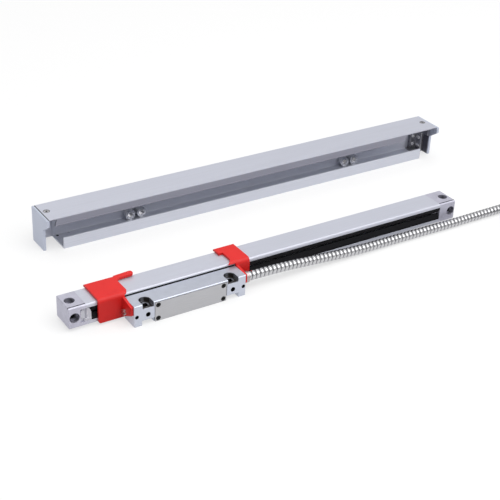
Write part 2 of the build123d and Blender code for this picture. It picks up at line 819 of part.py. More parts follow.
# Gland in the head's right end
with BuildPart() as cable_gland:
    with Locations(facing(head_right - gland_seat, cable_y, cable_height, "right")):
        pin(gland_radius, gland_length)
    chamfer(cable_gland.faces().sort_by(Axis.X)[-1].edges(), gland_bevel)
save(cable_gland.part, "cable_gland")

# Armoured cable: down from the gland, along the floor beside the housing and into its coil
cable_exit = head_right - gland_seat + gland_length
coil_outer_turn = coil_mean_radius + (coil_turns_across - 1) / 2 * cable_diameter
coil_y = cable_y - coil_outer_turn
route = [
    (cable_exit, cable_y, cable_height),
    (178.0, cable_y, cable_height),
    (216.0, cable_y + 0.2, 5.2),
    (262.0, cable_y - 0.6, 2.4),
    (314.0, cable_y + 0.5, rest_height + 0.1),
    (368.0, cable_y - 0.5, rest_height),
    (424.0, cable_y + 0.4, rest_height),
    (coil_x, cable_y, rest_height),
]
tail_y = coil_y - coil_outer_turn
top_turn = rest_height + cable_diameter * (coil_layers - 1)
hood_start = coil_x - tail_length
hood_height = z_floor + hood_thickness / 2
tail = [
    (coil_x, tail_y, top_turn),
    (coil_x - tail_length / 3, tail_y + 0.3, top_turn - 0.4),
    (coil_x - tail_length * 2 / 3, tail_y, hood_height),
    (hood_start, tail_y, hood_height),
]


def corner_radii(points):
    """Radius of each corner: 0.45 of the shorter run over the tangent of half the turn."""
    radii = []
    for before, at, after in zip(points, points[1:], points[2:]):
        run_in = Vector(*at) - Vector(*before)
        run_out = Vector(*after) - Vector(*at)
        half_turn = math.radians(run_in.get_angle(run_out)) / 2
        radii.append(0.45 * min(run_in.length, run_out.length) / math.tan(half_turn))
    return radii


def cable_tube(points, name):
    """A plain tube of the cable's diameter along straight runs joined by arcs."""
    radii = corner_radii(points)
    with BuildPart() as tube:
        with BuildLine() as path:
            FilletPolyline(*points, radius=radii)
        with BuildSketch(Plane(origin=points[0], z_dir=path.line % 0)):
            Circle(cable_diameter / 2)
        sweep()
    length = path.wires()[0].length
    expected = math.pi * cable_diameter ** 2 / 4 * length
    print(name, "radii", [round(r) for r in radii], "length", round(length, 1),
          "volume ratio", round(tube.part.volume / expected, 4))
    return tube


save(cable_tube(route, "cable").part, "cable")
save(cable_tube(tail, "cable_tail").part, "cable_tail")

coil_half_width = coil_turns_across * cable_diameter / 2
with BuildPart() as cable_coil:
    with BuildSketch(Plane.XY.offset(z_floor)):
        with Locations((coil_x, coil_y)):
            Circle(coil_mean_radius + coil_half_width)
            Circle(coil_mean_radius - coil_half_width, mode=Mode.SUBTRACT)
    extrude(amount=coil_layers * cable_diameter)
    chamfer(cable_coil.edges().filter_by(GeomType.CIRCLE), cable_diameter / 4)
save(cable_coil.part, "cable_coil")

# Connector at the cable's end: hood, shell, insert and two thumbscrews, facing back along the scale
hood_end = hood_start - hood_length
hood_shoulder = hood_start - hood_neck_length
shell_seat = hood_end - face_thickness
thumbscrew_y = [tail_y + side * thumbscrew_pitch / 2 for side in (-1, 1)]
with BuildPart() as connector_hood:
    with BuildSketch(Plane.XY.offset(z_floor)):
        with Locations(((hood_shoulder + hood_end) / 2, tail_y)):
            Rectangle(hood_shoulder - hood_end, hood_width)
        with Locations(((hood_start + hood_shoulder) / 2, tail_y)):
            Rectangle(hood_neck_length, hood_neck_width)
    extrude(amount=hood_thickness)
    fillet(connector_hood.edges().filter_by(Axis.Z).group_by(Axis.X)[-1], hood_neck_corner)
    with Locations([facing(hood_end, y, hood_height, "left") for y in thumbscrew_y]):
        Hole(thumbscrew_shaft + axle_clearance)
save(connector_hood.part, "connector_hood")

with BuildPart() as connector_shell:
    with BuildSketch(facing(hood_end, tail_y, hood_height, "left")):
        RectangleRounded(face_width, face_height, face_corner)
        with Locations((-thumbscrew_pitch / 2, 0), (thumbscrew_pitch / 2, 0)):
            Circle(face_hole_radius, mode=Mode.SUBTRACT)
    extrude(amount=face_thickness)
    with BuildSketch(facing(shell_seat, tail_y, hood_height, "left")):
        RectangleRounded(shell_width, shell_height, shell_corner)
        RectangleRounded(shell_width - 2 * shell_wall, shell_height - 2 * shell_wall,
                         shell_corner - shell_wall, mode=Mode.SUBTRACT)
    extrude(amount=shell_depth)
save(connector_shell.part, "connector_shell")

insert_inset = shell_wall + insert_clearance
with BuildPart() as connector_pins:
    with BuildSketch(facing(shell_seat, tail_y, hood_height, "left")):
        RectangleRounded(shell_width - 2 * insert_inset, shell_height - 2 * insert_inset,
                         shell_corner - insert_inset)
    extrude(amount=insert_depth)
    for row, count in enumerate(pin_rows):
        z = hood_height + (0.5 - row) * pin_row_pitch
        for index in range(count):
            y = tail_y + (index - (count - 1) / 2) * pin_pitch
            with Locations(facing(shell_seat - insert_depth, y, z, "left")):
                pin(pin_radius, pin_length)
save(connector_pins.part, "connector_pins")


def thumbscrew(y):
    """One of the connector's two captive thumbscrews, its knurled head behind the hood's shoulder."""
    head_seat = hood_shoulder + bracket_clearance
    with BuildPart() as screw:
        with Locations(facing(head_seat, y, hood_height, "right")):
            pin(thumbscrew_radius, thumbscrew_head)
            with PolarLocations(thumbscrew_radius, knurl_count):
                Cylinder(knurl_radius, thumbscrew_head, align=(Align.CENTER, Align.CENTER, Align.MIN),
                         mode=Mode.SUBTRACT)
        with Locations(facing(head_seat, y, hood_height, "left")):
            pin(thumbscrew_shaft, head_seat - hood_end + thumbscrew_reach)
    return screw


for y, name in zip(thumbscrew_y, ("front", "back")):
    save(thumbscrew(y).part, f"thumbscrew_{name}")

# Cover: top with a slanting front flange and a back wall, closed by stepped end plates
cover_end = cover_start + cover_length
cover_back = cover_front + cover_depth
cover_base = z_floor
cover_top = cover_base + cover_height
cover_roof = cover_top - cover_wall
cover_screw_y = cover_front + cover_screw_setback
flange_y = cover_front + flange_foot_in
flange_z = cover_base + flange_foot_height
flange_slope = flange_foot_in / (cover_top - band_drop - flange_z - flange_bead)
flange_through = cover_wall * math.hypot(1, flange_slope)
rail_left = cover_start + cover_plate + rail_start
rail_right = cover_end - cover_plate - rail_start
rail_front = flange_y
rail_back = cover_back - cover_wall
rail_face = rail_back - rail_wall
shelf_top = cover_base + rail_wall
bolt_pair_middles = (rail_left + rail_bolt_inset + rail_bolt_shift,
                     rail_right - rail_bolt_inset + rail_bolt_shift)
bolt_planes = [facing(x + shift, rail_face, cover_base + rail_bolt_height, "front")
               for x in bolt_pair_middles for shift in (-rail_bolt_pitch / 2, rail_bolt_pitch / 2)]
cover_screw_places = [(cover_start + cover_screw_inset, cover_screw_y),
                      (cover_end - cover_screw_inset, cover_screw_y)]

with BuildPart() as cover_shell:
    with BuildSketch(Plane.YZ.offset(cover_start + cover_plate)):
        with BuildLine():
            Polyline([(cover_front, cover_top), (cover_back, cover_top), (cover_back, cover_base),
                      (rail_back, cover_base), (rail_back, cover_roof),
                      (cover_front + flange_through, cover_roof),
                      (flange_y + flange_through, flange_z + flange_bead),
                      (flange_y + flange_through, flange_z), (flange_y, flange_z),
                      (flange_y, flange_z + flange_bead), (cover_front, cover_top - band_drop)], close=True)
        make_face()
    extrude(amount=cover_length - 2 * cover_plate)
    for inner, band_end in ((cover_start + cover_plate, cover_start + band_left_inset),
                            (cover_end - cover_plate, cover_end - band_right_inset)):
        bar((inner, cover_front, flange_z), (band_end, flange_y + flange_through, cover_roof),
            mode=Mode.SUBTRACT)
    with Locations([facing(x, y, cover_top, "up") for x, y in cover_screw_places]):
        CounterSinkHole(cover_screw_hole, cover_screw_head, depth=cover_wall)
    with Locations(bolt_planes):
        Hole(rail_bolt_radius + rail_bolt_clearance, depth=rail_wall + cover_wall)
save(cover_shell.part, "cover_shell")


def cover_end_plate(outer, inner):
    """The stepped plate that closes one end of the cover: a wide nose above a narrower leg."""
    with BuildPart() as plate:
        with BuildSketch(Plane.YZ.offset(outer)):
            with BuildLine():
                Polyline([(cover_front - nose_overhang, cover_top), (cover_back, cover_top),
                          (cover_back, cover_base), (cover_front + leg_setback, cover_base),
                          (cover_front + leg_setback, cover_top - nose_height - nose_slant),
                          (cover_front - nose_overhang, cover_top - nose_height)], close=True)
            make_face()
        extrude(amount=inner - outer)
        chamfer(plate.edges().filter_by(Axis.Y).group_by(Axis.Z)[-1], cover_plate_bevel)
    return plate


def cover_corner(inner, side):
    """The angle that ties an end plate's inner face to the cover's top."""
    reach = inner - side * (rail_start - corner_gap)
    front = cover_screw_y - corner_width / 2
    back = cover_screw_y + corner_width / 2
    with BuildPart() as corner:
        bar((inner, front, cover_roof - corner_thickness), (reach, back, cover_roof))
        bar((inner, front, cover_roof - corner_drop), (inner - side * corner_thickness, back, cover_roof))
        with Locations([facing(x, y, cover_roof, "up") for x, y in cover_screw_places]):
            Hole(cover_screw_hole, depth=corner_thickness)
    return corner


for side, name, outer in ((-1, "left", cover_start), (1, "right", cover_end)):
    inner = outer - side * cover_plate
    save(cover_end_plate(outer, inner).part, f"cover_end_{name}")
    save(cover_corner(inner, side).part, f"cover_bracket_{name}")

# Mounting rail inside the cover: shelf, upturned front lip and a back bolted to the cover's wall
with BuildPart() as cover_rail:
    with BuildSketch(Plane.YZ.offset(rail_left)) as rail_profile:
        with BuildLine():
            Polyline([(rail_front, cover_base), (rail_back, cover_base),
                      (rail_back, cover_base + rail_back_height), (rail_face, cover_base + rail_back_height),
                      (rail_face, shelf_top), (rail_front + rail_wall, shelf_top),
                      (rail_front + rail_wall, cover_base + rail_lip), (rail_front, cover_base + rail_lip)],
                     close=True)
        make_face()
        bends = [rail_profile.vertices().sort_by_distance((y, shelf_top, 0))[0]
                 for y in (rail_front + rail_wall, rail_face)]
        fillet(bends, rail_bend)
    extrude(amount=rail_right - rail_left)
    with Locations(bolt_planes):
        Hole(rail_bolt_radius + rail_bolt_clearance, depth=rail_wall)
save(cover_rail.part, "cover_rail")

with BuildPart() as rail_bolts:
    with Locations(bolt_planes):
        pin(rail_bolt_collar, rail_bolt_head_height)
        Cylinder(rail_bolt_radius, rail_wall + cover_wall, align=(Align.CENTER, Align.CENTER, Align.MAX))
    with Locations([plane.offset(rail_bolt_collar_height) for plane in bolt_planes]):
        pin(rail_bolt_head, rail_bolt_head_height - rail_bolt_collar_height)
    for plane in bolt_planes:
        with BuildSketch(plane.offset(rail_bolt_head_height)):
            RegularPolygon(rail_bolt_socket, 6)
        extrude(amount=-rail_bolt_socket_depth, mode=Mode.SUBTRACT)
save(rail_bolts.part, "rail_bolts")

with BuildPart() as cover_screws:
    head_rim = cover_screw_head - cover_screw_sink
    with Locations([(x, y, cover_top - cover_screw_sink) for x, y in cover_screw_places]):
        Cone(cover_screw_radius, head_rim, head_rim - cover_screw_radius,
             align=(Align.CENTER, Align.CENTER, Align.MAX))
        Cylinder(cover_screw_radius, cover_wall + cover_screw_reach,
                 align=(Align.CENTER, Align.CENTER, Align.MAX))
save(cover_screws.part, "cover_screws")
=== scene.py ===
"""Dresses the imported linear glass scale: finishes, armoured cable, small trim and the stage."""
import json
import math
from bisect import bisect_left

import bmesh
import bpy
from bpy.props import FloatProperty, FloatVectorProperty, IntProperty, PointerProperty
from mathutils import Matrix, Vector


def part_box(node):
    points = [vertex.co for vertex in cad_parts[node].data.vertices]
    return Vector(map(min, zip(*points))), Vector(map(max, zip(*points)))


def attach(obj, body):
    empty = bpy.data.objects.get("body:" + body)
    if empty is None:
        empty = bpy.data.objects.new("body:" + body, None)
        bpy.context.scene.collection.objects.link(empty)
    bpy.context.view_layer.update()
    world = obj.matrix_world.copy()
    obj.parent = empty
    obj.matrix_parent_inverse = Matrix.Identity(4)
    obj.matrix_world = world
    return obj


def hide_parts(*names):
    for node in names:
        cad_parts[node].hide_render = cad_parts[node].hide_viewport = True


bl_info = {
    "name": "Linear glass scale",
    "version": (1, 0, 0),
    "blender": (4, 5, 0),
    "location": "View3D > Sidebar > Glass scale",
    "description": "Finishes, armoured cable and stage for a sealed linear glass scale",
    "category": "Object",
}

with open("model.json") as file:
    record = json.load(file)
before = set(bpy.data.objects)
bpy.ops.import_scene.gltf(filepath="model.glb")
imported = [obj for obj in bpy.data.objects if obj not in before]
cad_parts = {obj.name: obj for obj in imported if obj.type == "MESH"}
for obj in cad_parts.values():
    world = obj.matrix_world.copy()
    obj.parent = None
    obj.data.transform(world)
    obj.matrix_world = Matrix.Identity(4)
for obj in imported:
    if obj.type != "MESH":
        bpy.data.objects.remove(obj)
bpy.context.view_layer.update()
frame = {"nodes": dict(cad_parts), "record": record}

MM = 0.001
SKIN = 0.1 * MM
BEYOND = 1.0 * MM

# Floor, sensor, and the far wall's upper edge as the height of a direction of length 1
FLOOR_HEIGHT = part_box("head_body")[0].z
FLOOR_REACH = 30.0
WALL_EDGE_START = 0.2
WALL_EDGE_END = 0.35
SENSOR_WIDTH = 36.0
WHITE = (1.0, 1.0, 1.0, 1.0)

# Grain and edges of the finishes
EDGE_EASING = 0.25 * MM
NOISE_LOW = 0.25
NOISE_HIGH = 0.75
CLOUD_TO_GRAIN = 9
RULING_SCALE = 2500.0
TRACK_SCALE = 260.0
TRACK_WIDTH = 0.03

# Roughness from its lowest to its highest value, or how far it strays from the finish's own
DRAWN_ROUGHNESS = (0.44, 0.56)
RUBBER_ROUGHNESS = (0.5, 0.75)
ARMOUR_ROUGHNESS = (0.11, 0.19)
CAST_STRAY = (-0.08, 0.08)
POLISHED_STRAY = (0.0, 0.12)
PLASTIC_STRAY = (-0.05, 0.08)

# Painted shade in the bores of end blocks and head, as reach from their axes, depth and fade
BLOCK_BORE = 4.8 * MM
BLOCK_BORE_RIM = 0.2 * MM
BORE_DEPTH = 30.0 * MM
BORE_FADE = 2.5 * MM
BORE_SHADE = (0.035, 0.035, 0.04)
HEAD_BORE = 2.6 * MM
HEAD_THREAD = 2.4 * MM
HEAD_THREAD_DEPTH = 8.0 * MM
END_THREAD = 2.0 * MM
END_THREAD_DEPTH = 3.2 * MM
THREAD_FADE = 0.25 * MM
DEEP_SHADE = (0.012, 0.011, 0.012)

# Painted shade in the head's screw pockets
POCKET_REACH = 5.5 * MM
POCKET_DEPTH = 4.1 * MM
POCKET_INSET = 0.3 * MM
POCKET_FADE = 0.9 * MM
POCKET_SHADE = (0.055, 0.048, 0.045)

# Painted shade along the groove at the top of the end blocks
GROOVE_SHADE_SETBACK = 1.4 * MM
GROOVE_SHADE_WIDTH = 1.1 * MM
GROOVE_SHADE_FADE = 0.15 * MM

# Dark strip of painted shade in the gap between head and housing: gap left before the housing, and edges
# measured from the head's top
SHADE_STRIP_GAP = 0.12 * MM
SHADE_STRIP_HEAD_EDGES = (-0.9 * MM, -0.1 * MM)
SHADE_STRIP_HOUSING_EDGES = (0.9 * MM, 0.3 * MM)

# Painted shade on the cover's band under its top and its right plate's inner side, and the dark joint at its
# left end
COVER_WALL = 1.5 * MM
BAND_HEIGHT = 12.0 * MM
BAND_DROP = 0.9 * MM
BAND_REACH = 2.4 * MM
BAND_FADE = 0.3 * MM
BAND_SHADE = (0.34, 0.34, 0.41)
JOINT_WIDTH = 0.4 * MM
JOINT_FADE = 0.05 * MM
PLATE_LIGHT_EDGE = 6.0 * MM
PLATE_SKIN = 0.3 * MM
PLATE_FADE = 0.2 * MM
PLATE_SHADE = (0.11, 0.11, 0.14)

# Casting in the cover's right corner
CASTING_WALL_LEG = 10.0 * MM
CASTING_PLATE_LEG = 12.0 * MM
CASTING_THICKNESS = 3.0 * MM
CASTING_HEIGHT = 21.0 * MM
CASTING_BEVEL = 1.0 * MM
CASTING_FILLET = 2.0 * MM
CASTING_SCREW_INSET = 3.6 * MM
CASTING_SCREW_HEIGHTS = (6.0 * MM, 15.0 * MM)

# Cover screws' middles from the ends of their box, and rivet and hole from the rail's left end and back
COVER_SCREW_INSET = 2.7 * MM
RAIL_WALL = 1.5 * MM
RIVET_INSET = 14.5 * MM
HOLE_INSET = 3.6 * MM
RIVET_SETBACK = 3.8 * MM

# Profiles of turned fasteners, and of flat dark rings and discs painted as shadow at the cover screws and the
# shelf's hole, as rows of radius and height in millimetres
COVER_SCREW_SHADOW_RING = ((2.55, -0.05), (2.6, 0.03), (2.95, 0.03), (3.0, -0.05))
COVER_SCREW_SOCKET_SHADOW = ((1.1, -0.08), (0.9, -0.06), (0.0, -0.06))
CORNER_SCREW = ((2.4, 0.0), (2.4, 1.0), (1.9, 1.5), (1.1, 1.6), (1.0, 0.7), (0.0, 0.7))
RIVET = ((1.3, 0.0), (1.3, 0.4), (0.9, 0.75), (0.0, 0.85))
PUNCHED_HOLE_SHADOW = ((1.3, 0.02), (0.0, 0.02))
ROUND_SIDES = 28
SOCKET_SIDES = 6

# Coil of the cable, and one turn of its armour as place in the turn, share of depth and share of crown; a low
# share of crown paints shade into the gap between turns
COIL_TURNS = 7.5
COIL_TURNS_INWARD = 3
CLIMB_BULGE = 0.5
ARMOUR_SECTION = (
    (0.00, 1.0, 0.0), (0.09, 0.95, 0.1), (0.18, 0.25, 0.9), (0.48, 0.0, 1.0), (0.82, 0.12, 1.0),
    (0.93, 0.35, 0.7),
)


class GlassScaleStage(bpy.types.PropertyGroup):
    """Camera, floor and studio lamps."""

    camera_place: FloatVectorProperty(
        name="Camera place", description="Where the camera stands", subtype="TRANSLATION", unit="LENGTH",
        default=(-0.31063, -0.71879, 0.51001))
    camera_aim: FloatVectorProperty(
        name="Camera aim", description="Point on the floor at the middle of the picture",
        subtype="TRANSLATION", unit="LENGTH", default=(0.18697, 0.03151, FLOOR_HEIGHT))
    camera_roll: FloatProperty(
        name="Camera roll", description="Tilt of the picture", subtype="ANGLE", default=math.radians(2.63))
    lens: FloatProperty(
        name="Lens", description="Focal length on a 36 mm sensor", unit="CAMERA", default=84.69)
    floor_colour: FloatVectorProperty(
        name="Floor", description="Colour of the floor", subtype="COLOR", default=(0.93, 0.93, 0.93))
    floor_bounce: FloatVectorProperty(
        name="Floor bounce", description="Colour of the floor as it lights the object",
        subtype="COLOR", default=(0.42, 0.42, 0.44))
    floor_glow: FloatProperty(
        name="Floor glow", description="Share of plain white in the floor, which thins the shadow",
        subtype="FACTOR", default=0.6, min=0.0, max=1.0)
    lamp_aim: FloatVectorProperty(
        name="Lamp aim", description="Point that both lamps face", subtype="TRANSLATION", unit="LENGTH",
        default=(0.20, 0.05, 0.0))
    key_place: FloatVectorProperty(
        name="Key place", description="Where the overhead lamp hangs", subtype="TRANSLATION", unit="LENGTH",
        default=(0.10, 0.30, 2.00))
    key_size: FloatProperty(
        name="Key size", description="Side of the overhead lamp's softbox", unit="LENGTH", default=3.4)
    key_power: FloatProperty(
        name="Key lamp", description="Power of the overhead lamp", unit="POWER", default=28.5)
    fill_place: FloatVectorProperty(
        name="Fill place", description="Where the lamp at the front right hangs", subtype="TRANSLATION",
        unit="LENGTH", default=(0.70, -0.90, 1.60))
    fill_size: FloatProperty(
        name="Fill size", description="Side of the front right lamp's softbox", unit="LENGTH", default=1.9)
    fill_power: FloatProperty(
        name="Fill lamp", description="Power of the lamp at the front right", unit="POWER", default=23.0)
    sky_level: FloatProperty(
        name="Sky", description="Strength of the light from all sides", default=0.41, min=0.0)
    wall_level: FloatProperty(
        name="Far wall", description="Brightness of what is seen near the horizon, where 1 is white",
        default=0.78, min=0.0)


class GlassScaleCable(bpy.types.PropertyGroup):
    """Armour and coil of the reader head's cable."""

    turn_pitch: FloatProperty(
        name="Turn pitch", description="Length of one turn of the armour's strip", unit="LENGTH",
        default=4.1 * MM)
    groove_depth: FloatProperty(
        name="Groove depth", description="Depth of the gap between turns", unit="LENGTH", default=0.75 * MM)
    sides: IntProperty(
        name="Sides", description="Points around the armour", default=20, min=8)
    points_per_turn: IntProperty(
        name="Coil points", description="Control points in one turn of the coil", default=18, min=12)
    strip: FloatVectorProperty(
        name="Strip", description="Colour of the armour's strip", subtype="COLOR", default=(0.58, 0.58, 0.60))
    # Painted shade in the grooves between the armour's turns
    gap: FloatVectorProperty(
        name="Gaps", description="Colour between the armour's turns", subtype="COLOR",
        default=(0.08, 0.08, 0.085))


class GlassScaleFinish(bpy.types.PropertyGroup):
    """Colours of the finishes."""

    anodised: FloatVectorProperty(
        name="Anodised", description="Colour of housing and cover", subtype="COLOR",
        default=(0.60, 0.615, 0.695))
    rail: FloatVectorProperty(
        name="Rail", description="Colour of the cover's rail", subtype="COLOR", default=(0.71, 0.73, 0.81))
    end: FloatVectorProperty(
        name="Cover ends", description="Colour of the cover's end plates", subtype="COLOR",
        default=(0.60, 0.64, 0.75))
    cast: FloatVectorProperty(
        name="End blocks", description="Colour of the die-cast end blocks", subtype="COLOR",
        default=(0.56, 0.555, 0.65))
    head: FloatVectorProperty(
        name="Reader head", description="Colour of the reader head's casting", subtype="COLOR",
        default=(0.59, 0.62, 0.71))
    plate: FloatVectorProperty(
        name="Plate", description="Colour of the head's brushed plate", subtype="COLOR",
        default=(0.55, 0.55, 0.57))
    red: FloatVectorProperty(
        name="Brackets", description="Colour of the transport brackets", subtype="COLOR",
        default=(0.71, 0.018, 0.016))
    rubber: FloatVectorProperty(
        name="Rubber", description="Colour of lips, bedding, gasket and seal", subtype="COLOR",
        default=(0.006, 0.006, 0.008))
    clamp: FloatVectorProperty(
        name="Clamp", description="Colour of the lip clamp", subtype="COLOR", default=(0.66, 0.66, 0.72))
    zinc: FloatVectorProperty(
        name="Zinc", description="Colour of the end blocks' screws and the thumbscrews", subtype="COLOR",
        default=(0.55, 0.55, 0.56))
    bright_zinc: FloatVectorProperty(
        name="Bright zinc", description="Colour of the brackets' screws and the connector's shell",
        subtype="COLOR", default=(0.6, 0.6, 0.6))
    blackened: FloatVectorProperty(
        name="Blackened steel", description="Colour of the head plate's screws", subtype="COLOR",
        default=(0.03, 0.03, 0.03))
    nickel: FloatVectorProperty(
        name="Nickel", description="Colour of the cable's gland", subtype="COLOR", default=(0.45, 0.40, 0.40))
    bolt: FloatVectorProperty(
        name="Bolts", description="Colour of the cover's bolts and screws", subtype="COLOR",
        default=(0.78, 0.78, 0.80))
    # Cover brackets: a dark colour that paints the shade inside the cover's ends
    shaded_cast: FloatVectorProperty(
        name="Cover brackets", description="Colour of the brackets under the cover's top", subtype="COLOR",
        default=(0.20, 0.20, 0.23))
    bright_cast: FloatVectorProperty(
        name="Corner casting", description="Colour of the casting in the cover's corner", subtype="COLOR",
        default=(0.30, 0.30, 0.33))
    # Painted shadow: the dark rings and sockets at the cover screws and the shelf's hole take this colour
    joint: FloatVectorProperty(
        name="Joints", description="Colour of joint lines, sockets and holes", subtype="COLOR",
        default=(0.02, 0.02, 0.024))
    glass: FloatVectorProperty(
        name="Glass", description="Colour of the glass scale", subtype="COLOR", default=(0.80, 0.88, 0.86))
    chromium: FloatVectorProperty(
        name="Chromium", description="Colour of the glass scale's ruled lines", subtype="COLOR",
        default=(0.35, 0.36, 0.38))
    carriage: FloatVectorProperty(
        name="Carriage", description="Colour of the reading carriage", subtype="COLOR",
        default=(0.45, 0.45, 0.47))
    bearing: FloatVectorProperty(
        name="Bearings", description="Colour of rollers, axles and coupling", subtype="COLOR",
        default=(0.62, 0.62, 0.64))
    lamp_body: FloatVectorProperty(
        name="Lamp body", description="Colour of the light source", subtype="COLOR",
        default=(0.05, 0.05, 0.06))
    board: FloatVectorProperty(
        name="Board", description="Colour of the circuit boards", subtype="COLOR", default=(0.02, 0.16, 0.06))
    board_shade: FloatVectorProperty(
        name="Board shade", description="Colour of the circuit boards' darker fields", subtype="COLOR",
        default=(0.02, 0.13, 0.05))
    track: FloatVectorProperty(
        name="Tracks", description="Colour of the circuit boards' tracks", subtype="COLOR",
        default=(0.06, 0.30, 0.12))
    hood: FloatVectorProperty(
        name="Hood", description="Colour of the connector's hood", subtype="COLOR",
        default=(0.16, 0.17, 0.19))
    insert: FloatVectorProperty(
        name="Insert", description="Colour of the connector's insert", subtype="COLOR",
        default=(0.02, 0.02, 0.022))


def add_node(tree, kind, values=None, **options):
    """Add a shader node with its options and the plain values of its inputs."""
    node = tree.nodes.new(kind)
    for name, value in options.items():
        setattr(node, name, value)
    for name, value in (values or {}).items():
        node.inputs[name].default_value = value
    return node


def opaque(shade):
    """A colour as a socket takes it."""
    return (*shade, 1.0)


def start_finish(name, shade, metallic, roughness):
    """Make a material with one principled shader; return it, its tree and its shader."""
    finish = bpy.data.materials.new(name)
    finish.use_nodes = True
    tree = finish.node_tree
    shader = tree.nodes["Principled BSDF"]
    shader.inputs["Base Color"].default_value = opaque(shade)
    shader.inputs["Metallic"].default_value = metallic
    shader.inputs["Roughness"].default_value = roughness
    return finish, tree, shader


def own_space(tree):
    """Coordinates in the object's own space."""
    return add_node(tree, "ShaderNodeTexCoord").outputs["Object"]


def grain(tree, spacing, detail=3.0):
    """Noise in the object's own space; spacing is the grain's size along X, Y and Z in metres."""
    stretch = add_node(tree, "ShaderNodeMapping", {"Scale": [1.0 / size for size in spacing]})
    noise = add_node(tree, "ShaderNodeTexNoise", {"Scale": 1.0, "Detail": detail})
    tree.links.new(own_space(tree), stretch.inputs["Vector"])
    tree.links.new(stretch.outputs["Vector"], noise.inputs["Vector"])
    return noise.outputs[0]


def spread(tree, factor, low, high):
    """Map a noise value's usual span to the span from low to high."""
    span = add_node(tree, "ShaderNodeMapRange", {
        "From Min": NOISE_LOW, "From Max": NOISE_HIGH, "To Min": low, "To Max": high})
    tree.links.new(factor, span.inputs["Value"])
    return span.outputs["Result"]


def blend(tree, shader, share, first, second):
    """Give a shader a base colour between two, by a share from 0 to 1."""
    mix = add_node(tree, "ShaderNodeMix", {6: opaque(first), 7: opaque(second)}, data_type="RGBA")
    tree.links.new(share, mix.inputs[0])
    tree.links.new(mix.outputs[2], shader.inputs["Base Color"])


def tint(tree, shader, factor, shade, change):
    """Vary the base colour by a share of itself, darker where the factor is low."""
    darker = [max(0.0, part * (1 - change)) for part in shade]
    lighter = [min(1.0, part * (1 + change)) for part in shade]
    blend(tree, shader, spread(tree, factor, 0.0, 1.0), darker, lighter)


def vary_roughness(tree, shader, factor, span, own=0.0):
    """Vary the roughness over a span, which is added to the finish's own roughness where that is given."""
    tree.links.new(spread(tree, factor, own + span[0], own + span[1]), shader.inputs["Roughness"])


def relief(tree, shader, factor, height):
    """Raise a fine relief of that height in metres, and ease the edges."""
    bump = add_node(tree, "ShaderNodeBump", {"Distance": height, "Strength": 1.0})
    eased = add_node(tree, "ShaderNodeBevel", {"Radius": EDGE_EASING}, samples=6)
    tree.links.new(eased.outputs["Normal"], bump.inputs["Normal"])
    tree.links.new(factor, bump.inputs["Height"])
    tree.links.new(bump.outputs["Normal"], shader.inputs["Normal"])


def join(tree, operation, *values):
    """Join values two at a time with a maths operation."""
    joined = values[0]
    for value in values[1:]:
        node = add_node(tree, "ShaderNodeMath", operation=operation)
        tree.links.new(joined, node.inputs[0])
        tree.links.new(value, node.inputs[1])
        joined = node.outputs[0]
    return joined


def distance_outside(tree, place, low, high):
    """How far a place lies outside a box, below zero inside it."""
    offset = add_node(tree, "ShaderNodeVectorMath", {1: (low + high) / 2}, operation="SUBTRACT")
    size = add_node(tree, "ShaderNodeVectorMath", operation="ABSOLUTE")
    outside = add_node(tree, "ShaderNodeVectorMath", {1: (high - low) / 2}, operation="SUBTRACT")
    parts = add_node(tree, "ShaderNodeSeparateXYZ")
    tree.links.new(place, offset.inputs[0])
    tree.links.new(offset.outputs[0], size.inputs[0])
    tree.links.new(size.outputs[0], outside.inputs[0])
    tree.links.new(outside.outputs[0], parts.inputs[0])
    return join(tree, "MAXIMUM", *parts.outputs)


def darken(finish, hollows, shade, fade):
    """Darken a finish inside boxes, each a low and a high corner; the fade is the depth of full shade."""
    tree = finish.node_tree
    shader = tree.nodes["Principled BSDF"]
    place = own_space(tree)
    distances = [distance_outside(tree, place, low, high) for low, high in hollows]
    share = add_node(tree, "ShaderNodeMapRange", {
        "From Min": -fade, "From Max": 0.0, "To Min": 1.0, "To Max": 0.0})
    tree.links.new(join(tree, "MINIMUM", *distances), share.inputs["Value"])
    mix = add_node(tree, "ShaderNodeMix", {7: opaque(shade)}, data_type="RGBA")
    tree.links.new(share.outputs["Result"], mix.inputs[0])
    tree.links.new(shader.inputs["Base Color"].links[0].from_socket, mix.inputs[6])
    tree.links.new(mix.outputs[2], shader.inputs["Base Color"])


def hole_places(mount):
    """Middles of a mount's two holes."""
    entry = next(item for item in frame["record"]["mounts"] if item["name"] == mount)
    shift = Vector((entry["dims"]["spacing_x_mm"] * MM / 2, 0, 0))
    middle = Vector(entry["pos_m"])
    return middle - shift, middle + shift


def upright_hollows(mount, radius, top, depth):
    """Boxes round the upright bores of a mount, from a height down."""
    reach = Vector((radius, radius, 0))
    return [(Vector((hole.x, hole.y, top - depth)) - reach, Vector((hole.x, hole.y, top)) + reach)
            for hole in hole_places(mount)]


def level_hollows(mount, radius, front, depth):
    """Boxes round the level bores of a mount, from the front backwards."""
    reach = Vector((radius, 0, radius))
    return [(Vector((hole.x, front, hole.z)) - reach, Vector((hole.x, front + depth, hole.z)) + reach)
            for hole in hole_places(mount)]


def drawn_metal(name, shade, along=(60 * MM, 0.5 * MM, 0.5 * MM), change=0.05):
    """Satin metal with fine lines drawn along one direction."""
    finish, tree, shader = start_finish(name, shade, metallic=0.5, roughness=0.5)
    lines = grain(tree, along)
    tint(tree, shader, lines, shade, change)
    vary_roughness(tree, shader, lines, DRAWN_ROUGHNESS)
    relief(tree, shader, lines, height=0.01 * MM)
    return finish


def cast_metal(name, shade, metallic=0.7, roughness=0.42, size=0.7 * MM, change=0.08, height=0.05 * MM):
    """Blasted casting: an even fine grain over broader clouds."""
    finish, tree, shader = start_finish(name, shade, metallic, roughness)
    clouds = grain(tree, [CLOUD_TO_GRAIN * size] * 3, detail=2.0)
    speckle = grain(tree, [size] * 3, detail=4.0)
    tint(tree, shader, clouds, shade, change)
    vary_roughness(tree, shader, speckle, CAST_STRAY, roughness)
    relief(tree, shader, speckle, height)
    return finish


